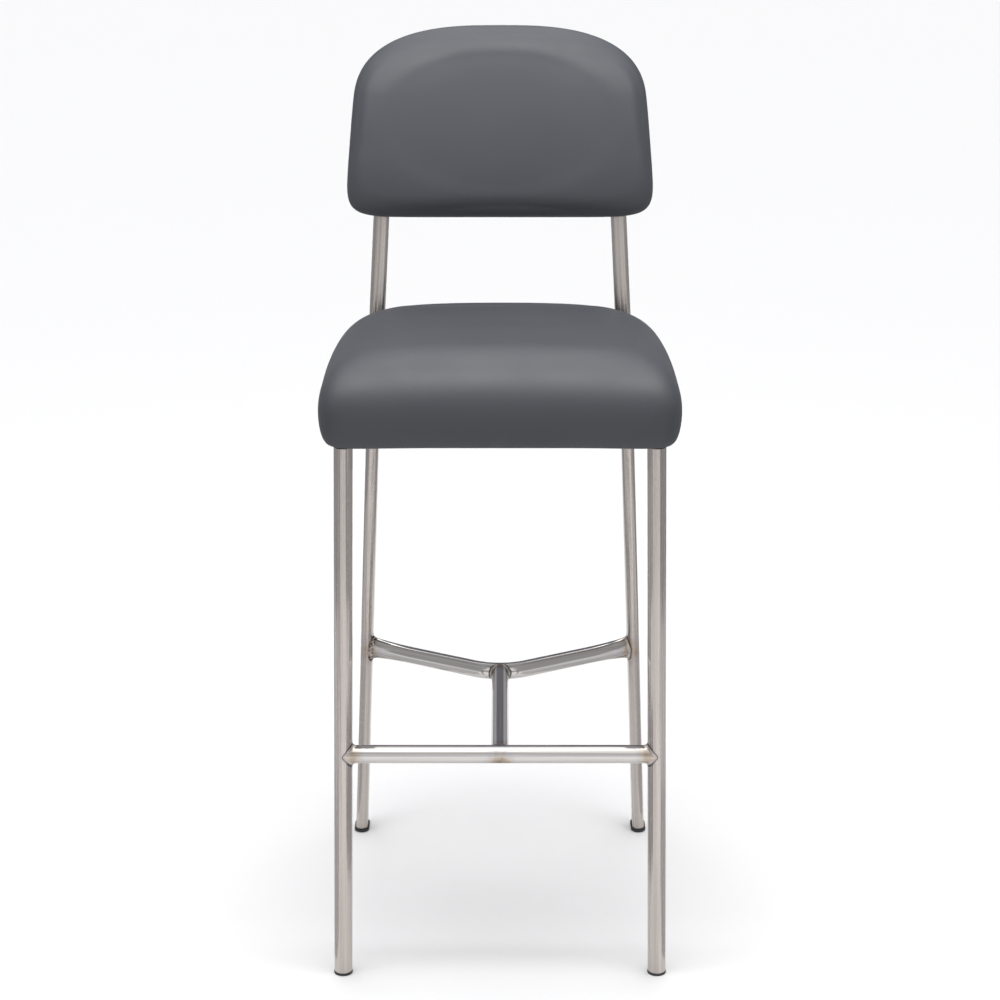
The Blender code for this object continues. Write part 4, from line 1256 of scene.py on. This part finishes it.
def swelling(skin, settings):
    """Points of a skin, and how far each moves when air presses it out with its flat side at z = 0 held."""
    scene = bpy.context.scene
    item = add_object("swelling", skin)
    before = coordinates(skin)
    held = item.vertex_groups.new(name="held")
    held.add(np.flatnonzero(before[:, 2] < HELD_DEPTH).tolist(), 1.0, "REPLACE")
    cloth = item.modifiers.new("swell", "CLOTH")
    cloth.settings.vertex_group_mass = held.name
    cloth.settings.use_pressure = True
    cloth.settings.uniform_pressure_force = settings.pressure
    cloth.settings.effector_weights.gravity = 0
    cloth.point_cache.frame_end = SWELL_FRAMES
    for number in range(1, SWELL_FRAMES + 1):
        scene.frame_set(number)
    result = taken_off(item)
    scene.frame_set(1)
    move = coordinates(result) - before
    length = np.linalg.norm(move, axis=1, keepdims=True)
    move *= settings.swell_limit / np.maximum(length, settings.swell_limit)
    return before, smoothed(result, move)


def smoothed(mesh, move):
    """Spreads each point's move over its neighbours, which leaves the swell and takes out the wrinkles."""
    edges = np.empty(len(mesh.edges) * 2, np.int32)
    mesh.edges.foreach_get("vertices", edges)
    first, second = edges.reshape(-1, 2).T
    count = np.bincount(edges, minlength=len(move))[:, None]
    for _ in range(SMOOTHING_ROUNDS):
        total = np.zeros_like(move)
        np.add.at(total, first, move[second])
        np.add.at(total, second, move[first])
        move = (move + total / count) / 2
    return move


def swell(mesh, settings):
    """Moves a pad's own points outwards as the nearest points of its even skin swell."""
    places, moves = swelling(even_skin(mesh, settings.voxel), settings)
    tree = kdtree.KDTree(len(places))
    for index, place in enumerate(places):
        tree.insert(place, index)
    tree.balance()
    outward_moves = []
    for vertex in mesh.vertices:
        near = tree.find_n(vertex.co, NEIGHBOURS)
        furthest = max(gap for _, _, gap in near)
        weights = np.array([(1 - gap / furthest) ** 2 for _, _, gap in near])
        move = Vector((weights @ moves[[index for _, index, _ in near]] / weights.sum()).tolist())
        outward_moves.append(vertex.normal * max(0.0, move.dot(vertex.normal)))
    for vertex, move in zip(mesh.vertices, outward_moves):
        vertex.co += move


def add_cushion(name, rings, place, settings, *nodes):
    """Pad from its rings, swollen by pressure and then refined once."""
    mesh = loft_mesh(name, rings)
    swell(mesh, settings)
    mesh.transform(place)
    mesh.shade_smooth()
    piece = add_piece(name, mesh, grey_vinyl(), *nodes)
    refine = piece.modifiers.new("refine", "SUBSURF")
    refine.levels = 1
    refine.render_levels = 1


# The arch in the front lower edge: how far back it reaches, its share of the width, and how square it is
LIP_DEPTH = 0.016
LIP_WIDTH = 0.86
LIP_POWER = 3

SEAT_END_FALL = 0.0015


class STOOL_OT_seat(bpy.types.Operator):
    """Seat pad with a domed top, a deep front roll and a lower edge that arches up in the middle"""

    bl_idname = "stool.seat"
    bl_label = "Seat pad"

    def execute(self, context):
        settings = context.scene.stool_cushions
        low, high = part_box("seat_cover")
        half_width = high.x
        front = settings.seat_widest_from_front
        rear = high.y - low.y - front
        thickness = high.z - low.z - settings.swell
        widest = settings.seat_widest_height

        def plan(side_inset, front_inset, rear_inset):
            return plan_outline(half_width - side_inset, front - front_inset, rear - rear_inset,
                                SEAT_PLAN_POWERS, (0.0, settings.seat_rear_taper))

        def height(x, y):
            fall = settings.seat_side_fall * (x / half_width) ** 2 + SEAT_END_FALL * (y / front) ** 2
            return thickness - fall

        def with_lip(x, y, z):
            """Lifts the front lower edge, most in the middle and least at the corners."""
            near_front = clamp((-y - front + LIP_DEPTH) / LIP_DEPTH)
            near_floor = max(0.0, 1 - z / widest)
            middle_share = max(0.0, 1 - abs(x / (half_width * LIP_WIDTH)) ** LIP_POWER)
            return (x, y, z + settings.seat_lip_arch * near_front * near_floor * middle_share)

        rolls = (settings.seat_side_roll, settings.seat_top_roll, settings.seat_rear_roll)
        rings = cushion_rings(plan, height, widest, settings.seat_bottom_roll, rolls, SEAT_ROLL_POWERS)
        rings = [[with_lip(*point) for point in ring] for ring in rings]
        place = Matrix.Translation((0, low.y + front, low.z))
        add_cushion("seat_pad", rings, place, settings, "seat_cover", "seat_foam")
        return {"FINISHED"}


# The back's dish: how square it is, where the rim round it starts to fall, and the rim's fall along the base
DISH_POWER = 2.1
RIM_START = 0.88
LOWER_RIM = 0.2

# The panel behind the back: its inset from the pad's edge, and its edge rounding as a share of its thickness
PANEL_INSET = 0.010
PANEL_ROUNDING = 0.42


class STOOL_OT_back(bpy.types.Operator):
    """Back pad with an arched top and an oval dish, and the covered panel behind it"""

    bl_idname = "stool.back"
    bl_label = "Back pad"

    def execute(self, context):
        settings = context.scene.stool_cushions
        axes = back_axes()
        low, high = box_along("back_cover", axes)
        tall = high[1] - low[1]
        arch = settings.back_arch
        base = tall - arch
        axis_level = high[1] - arch
        axis = Vector(np.array((0, axis_level, low[2])) @ axes)
        half_width = Post("back_upright_right").at(axis.z).x + settings.back_overhang
        thickness = high[2] - low[2] - settings.swell
        dish_middle = (arch - base) / 2

        def plan(side_inset, base_inset, arch_inset):
            return plan_outline(half_width - side_inset, base - base_inset, arch - arch_inset,
                                BACK_PLAN_POWERS, (-settings.back_taper, settings.back_taper))

        def height(x, y):
            side = x / settings.dish_half_width
            up = (y - dish_middle) / settings.dish_half_height
            reach = (abs(side) ** DISH_POWER + abs(up) ** DISH_POWER) ** (1 / DISH_POWER)
            share = clamp((1 - reach) / settings.dish_band)
            dish = settings.dish_depth * share * share * (3 - 2 * share)
            fullness = LOWER_RIM + (1 - LOWER_RIM) * clamp(up + 0.5)
            rim = settings.back_rim_fall * fullness * max(0.0, reach - RIM_START) ** 2
            crown = settings.back_crown * ((y - dish_middle) / (tall / 2)) ** 2
            return thickness - crown - dish - rim

        turn = Matrix([list(row) for row in axes]).transposed().to_4x4()
        place = turn @ Matrix.Translation((0, axis_level, low[2]))
        rolls = (settings.back_front_roll, settings.back_base_roll, settings.back_front_roll)
        rings = cushion_rings(plan, height, settings.back_widest_depth, settings.back_rear_roll,
                              rolls, BACK_ROLL_POWERS)
        add_cushion("back_pad", rings, place, settings, "back_cover", "back_foam")
        self.add_panel(plan, place, axes, low[2], settings)
        return {"FINISHED"}

    def add_panel(self, plan, place, axes, rear_face, settings):
        low, high = box_along("back_rear_panel", axes)
        inset = settings.back_rear_roll + PANEL_INSET
        thickness = high[2] - low[2]
        gap = high[2] - rear_face

        def outline(edge):
            step = inset + edge
            return plan(step, step, step)
        radius = thickness * PANEL_ROUNDING
        mesh = plate_mesh("back_rear_panel", outline, gap - thickness, gap, radius)
        mesh.transform(place)
        add_piece("back_rear_panel_cover", mesh, grey_vinyl(), "back_rear_panel")


STAPLE_INSET = 0.006
STAPLE_WIDTH = 0.010
STAPLE_WIRE = 0.0009
STAPLE_LEG = 0.004
STAPLE_BEND = 0.4
STAPLE_SIDES = 8
STAPLE_AHEAD = 0.004


class STOOL_OT_underside(bpy.types.Operator):
    """Dust cloth under the seat with its staples, and the pieces hidden inside the pads"""

    bl_idname = "stool.underside"
    bl_label = "Underside and inner pieces"

    def execute(self, context):
        paint(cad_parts["seat_dust_cover"].data, dust_cloth())
        self.add_staples(context.scene.stool_cushions)
        for node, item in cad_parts.items():
            if "board" in node or "tee_nut" in node:
                paint(item.data, plywood() if "board" in node else zinc_plate())
        return {"FINISHED"}

    def add_staples(self, settings):
        """Wire staples in a row just inside the dust cloth's edge, all in one piece."""
        points = node_points("seat_dust_cover")
        level = points[:, 2].min()
        under = points[points[:, 2] < level + END_BAND / 2][:, :2]
        centre = (under.min(0) + under.max(0)) / 2
        turns = np.arctan2(*(under - centre).T[::-1])
        edge = under[np.argsort(turns)]
        loop = np.vstack([edge, edge[:1]])
        gaps = np.linalg.norm(np.diff(loop, axis=0), axis=1)
        runs = np.concatenate([[0], np.cumsum(gaps)])
        count = int(runs[-1] / settings.staple_spacing)

        def along(run):
            return np.array([np.interp(run % runs[-1], runs, loop[:, axis]) for axis in range(2)])

        shape = bmesh.new()
        for step in range(count):
            run = runs[-1] * step / count
            place = along(run)
            inward = centre - place
            inward = inward / np.linalg.norm(inward)
            heading = math.atan2(*(along(run + STAPLE_AHEAD) - place)[::-1])
            x, y = place + inward * STAPLE_INSET
            self.add_staple(shape, Matrix.Translation((x, y, level)) @ Matrix.Rotation(heading, 4, "Z"))
        mesh = bpy.data.meshes.new("seat_staples")
        shape.to_mesh(mesh)
        shape.free()
        piece = add_piece("seat_staples", outward(mesh), zinc_plate())

    def add_staple(self, shape, place):
        """One staple: a crown of flat wire with both legs turned up into the board."""
        half, wire = STAPLE_WIDTH / 2, STAPLE_WIRE / 2
        bend = wire * STAPLE_BEND
        path = [(-half, STAPLE_LEG), (-half, -bend), (-half + wire, -wire),
                (half - wire, -wire), (half, -bend), (half, STAPLE_LEG)]
        rings = []
        for index, (x, z) in enumerate(path):
            before, after = path[max(index - 1, 0)], path[min(index + 1, len(path) - 1)]
            run = Vector((after[0] - before[0], 0, after[1] - before[1])).normalized()
            side = BACKWARD.cross(run)
            ring = [Vector((x, a, z)) + side * b for a, b in circle(wire, STAPLE_SIDES)]
            rings.append([shape.verts.new(place @ point) for point in ring])
        for first, second in zip(rings, rings[1:]):
            for index in range(len(first)):
                following = (index + 1) % len(first)
                shape.faces.new((first[index], first[following], second[following], second[index]))
        shape.faces.new(rings[0])
        shape.faces.new(rings[-1])


# Stage

WHITE = (1, 1, 1, 1)
FLOOR_HALF = 60
FLOOR_SPECKLES = 60.0
FLOOR_SHADE = 0.985

# The room's light by a direction's angle from the middle of the softbox, in half turns
BOX_FADE = 0.03
GLOW_START = 0.02
GLOW_END = 0.30
ROOM_START = 0.37
ROOM_LOW_START = 0.43

# Where the room's sides and rear take over, by how much a direction points sideways or to the rear
SIDE_BAND = (0.35, 0.75)
REAR_BAND = (-0.10, 0.30)

KEY_WIDTH = 1.5
KEY_DEPTH = 0.35
KEY_AIM = Vector((0, 0.12, 0.98))

FLAG_FAR = 2.2
FLAG_TOP = 1.5
FLAG_GAP = 0.02
LOW_FLAG_FAR = 0.3
LOW_FLAG_TOP = 0.32
FLOOR_FLAG_LEVEL = 0.005
INNER_NEAR = -0.40
INNER_FAR = -0.02
SEAT_CARD_REACH = 0.25
SEAT_CARD_REAR = 0.22
FRONT_CARD_GAP = 0.5
FRONT_CARD_HALF = 1.2
FRONT_CARD_TOP = 1.7
CARD_LIFT = 0.10
CARD_DEPTH = 0.10
CARD_MARGIN = 0.03
CARD_THICKNESS = 0.002
CARD_MOTTLE = 8.0
CARD_DARK = (0.90, 0.92, 0.96, 1)
CARD_PALE = (1.04, 1.04, 1.05, 1)

SENSOR_WIDTH = 36


class STOOL_OT_stage(bpy.types.Operator):
    """Pale floor, soft overhead light, a plain room and the camera"""

    bl_idname = "stool.stage"
    bl_label = "Stage"

    def execute(self, context):
        scene = context.scene
        settings = scene.stool_stage
        scene.view_settings.view_transform = "Standard"
        self.add_floor(settings)
        self.add_room(scene, settings)
        self.add_key_light(settings)
        for name, (corners, glow) in self.cards(settings).items():
            self.add_card(name, corners, glow)
        self.add_camera(scene, settings)
        return {"FINISHED"}

    def add_sheet(self, name, corners, material):
        mesh = bpy.data.meshes.new(name)
        mesh.from_pydata(corners, [], [(0, 1, 2, 3)])
        mesh.materials.append(material)
        return add_object(name, mesh)

    def add_floor(self, settings):
        finish = Finish("floor")
        speckle = finish.noise(finish.place(), FLOOR_SPECKLES)
        material = finish.dress({
            "Base Color": finish.tint(speckle, opaque(settings.floor, FLOOR_SHADE), opaque(settings.floor)),
            "Roughness": 0.9,
            "Specular IOR Level": 0.1,
        })
        floor = self.add_sheet("floor", self.level_corners(FLOOR_HALF, -FLOOR_HALF, FLOOR_HALF, 0), material)

    def add_room(self, scene, settings):
        """White seen directly; for light, an overhead softbox, a glow towards the front, and plain walls."""
        world = bpy.data.worlds.new("room")
        world.use_nodes = True
        scene.world = world
        shader = Shader(world.node_tree)
        heading = shader.add("ShaderNodeTexCoord").outputs["Generated"]
        parts = shader.add("ShaderNodeSeparateXYZ", {"Vector": heading}).outputs
        aim = (0, math.sin(settings.overhead_tilt), math.cos(settings.overhead_tilt))
        facing = shader.add("ShaderNodeVectorMath", {0: heading, 1: aim}, operation="DOT_PRODUCT")
        away = shader.math("DIVIDE", shader.math("ARCCOSINE", facing.outputs["Value"]), math.pi)
        edge = settings.overhead_angle / math.pi
        box = opaque([settings.overhead] * 3)
        glow = opaque(settings.glow)
        front = shader.ramp(away, (
            (edge - BOX_FADE, box), (edge + GLOW_START, glow), (GLOW_END, glow),
            (ROOM_START, opaque(settings.room)), (ROOM_LOW_START, opaque(settings.room_low)),
        ))
        rear = shader.ramp(away, ((edge - BOX_FADE, box), (edge + BOX_FADE, opaque(settings.room_rear))))
        side_share = shader.stretch(shader.math("ABSOLUTE", parts["X"]), *SIDE_BAND)
        rear_share = shader.stretch(parts["Y"], *REAR_BAND)
        front = shader.tint(side_share, front, opaque(settings.room_side))
        lit = shader.tint(rear_share, front, rear)
        seen = shader.add("ShaderNodeLightPath").outputs["Is Camera Ray"]
        shader.put(world.node_tree.nodes["Background"].inputs["Color"], shader.tint(seen, lit, WHITE))

    def add_key_light(self, settings):
        """Softbox just above and in front of the back, which brightens the back towards its top."""
        light = bpy.data.lights.new("key_softbox", "AREA")
        light.shape = "RECTANGLE"
        light.size = KEY_WIDTH
        light.size_y = KEY_DEPTH
        light.energy = settings.key_power
        item = add_object("key_softbox", light)
        item.location = (0, settings.key_place[0], settings.key_place[1])
        item.rotation_euler = (KEY_AIM - item.location).to_track_quat("-Z", "Y").to_euler()
        item.visible_camera = False

    def cards(self, settings):
        """Corners and brightness of the cards that the tubes mirror."""
        seat_low, seat_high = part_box("seat_cover")
        bar_low, bar_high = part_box("footrest_bar")
        leg = Post("front_leg_right")
        foot = leg.foot.x + leg.width / 2 + FLAG_GAP
        slant = leg.foot.y - (settings.flag_distance - foot)
        near = settings.flag_near
        cards = {}
        for side_name, side in SIDES:
            x = side * settings.flag_distance
            inside = x - side * FLAG_GAP
            ground = ((side * foot, leg.foot.y), (x, slant), (x, -slant), (side * foot, -leg.foot.y))
            cards[f"side_flag_{side_name}"] = (
                self.upright_corners((x, near), (x, FLAG_FAR), 0, FLAG_TOP), settings.side_flag)
            cards[f"low_flag_{side_name}"] = (
                self.upright_corners((inside, near), (inside, LOW_FLAG_FAR), 0, LOW_FLAG_TOP),
                settings.low_flag)
            cards[f"floor_flag_{side_name}"] = (
                [(*corner, FLOOR_FLAG_LEVEL) for corner in ground], settings.floor_flag)
        card_level = bar_high.z + CARD_LIFT
        for place, low, high in (
            ("lower", FLAG_GAP, bar_low.z - FLAG_GAP),
            ("upper", card_level + FLAG_GAP, seat_low.z - FLAG_GAP),
        ):
            cards[f"inner_flag_{place}"] = (
                self.upright_corners((0, INNER_NEAR), (0, INNER_FAR), low, high), settings.inner_flag)
        half = bar_high.x - CARD_MARGIN
        for name, level, glow in (
            ("footrest_card", card_level, settings.footrest_card),
            ("footrest_card_back", card_level + CARD_THICKNESS, settings.inner_flag),
        ):
            cards[name] = (self.level_corners(half, bar_low.y, bar_low.y + CARD_DEPTH, level), glow)
        cards["seat_card"] = (
            self.level_corners(seat_high.x + SEAT_CARD_REACH, seat_low.y + CARD_MARGIN,
                               seat_high.y + SEAT_CARD_REAR, seat_low.z - CARD_MARGIN),
            settings.seat_card)
        behind_camera = -settings.camera_distance - FRONT_CARD_GAP
        cards["front_card"] = (
            self.upright_corners((-FRONT_CARD_HALF, behind_camera), (FRONT_CARD_HALF, behind_camera),
                                 0, FRONT_CARD_TOP),
            settings.front_card)
        return cards

    def upright_corners(self, start, end, low, high):
        return [(*start, low), (*end, low), (*end, high), (*start, high)]

    def level_corners(self, half, near, far, level):
        return [(-half, near, level), (half, near, level), (half, far, level), (-half, far, level)]

    def add_card(self, name, corners, glow):
        """Glowing card that only reflections see."""
        finish = Finish(name)
        mottle = finish.noise(finish.place(), CARD_MOTTLE)
        card = self.add_sheet(name, corners, finish.dress({
            "Base Color": (0, 0, 0, 1),
            "Specular IOR Level": 0.0,
            "Emission Color": finish.tint(mottle, CARD_DARK, CARD_PALE),
            "Emission Strength": glow,
        }))
        card.visible_camera = False
        card.visible_diffuse = False
        card.visible_shadow = False

    def add_camera(self, scene, settings):
        camera = bpy.data.cameras.new("camera")
        camera.sensor_width = SENSOR_WIDTH
        camera.lens = settings.lens
        item = add_object("camera", camera)
        item.location = (0, -settings.camera_distance, settings.camera_height)
        item.rotation_euler = (math.pi / 2 - settings.camera_pitch, 0, 0)
        scene.camera = item


OPERATORS = (
    STOOL_OT_stage, STOOL_OT_legs, STOOL_OT_stretchers, STOOL_OT_welds, STOOL_OT_plastics,
    STOOL_OT_seat_carrier, STOOL_OT_fasteners, STOOL_OT_seat, STOOL_OT_back, STOOL_OT_underside,
)


class STOOL_PT_panel(bpy.types.Panel):
    """Lists the stool's pieces and their settings"""

    bl_idname = "STOOL_PT_panel"
    bl_label = "Metal Bar Stool"
    bl_space_type = "VIEW_3D"
    bl_region_type = "UI"
    bl_category = "Stool"

    def draw(self, context):
        for operator in OPERATORS:
            self.layout.operator(operator.bl_idname)
        for name in SETTINGS:
            box = self.layout.box()
            group = getattr(context.scene, name)
            for label in group.__annotations__:
                box.prop(group, label)


SETTINGS = {
    "stool_frame": StoolFrameSettings,
    "stool_cushions": StoolCushionSettings,
    "stool_finish": StoolFinishSettings,
    "stool_stage": StoolStageSettings,
}


def register():
    for group in SETTINGS.values():
        bpy.utils.register_class(group)
    for name, group in SETTINGS.items():
        setattr(bpy.types.Scene, name, PointerProperty(type=group))
    for operator in OPERATORS:
        bpy.utils.register_class(operator)
    bpy.utils.register_class(STOOL_PT_panel)


def unregister():
    bpy.utils.unregister_class(STOOL_PT_panel)
    for operator in reversed(OPERATORS):
        bpy.utils.unregister_class(operator)
    for name, group in SETTINGS.items():
        delattr(bpy.types.Scene, name)
        bpy.utils.unregister_class(group)


def main():
    register()
    for operator in OPERATORS:
        group, name = operator.bl_idname.split(".")
        getattr(getattr(bpy.ops, group), name)()


if __name__ == "__main__":
    main()
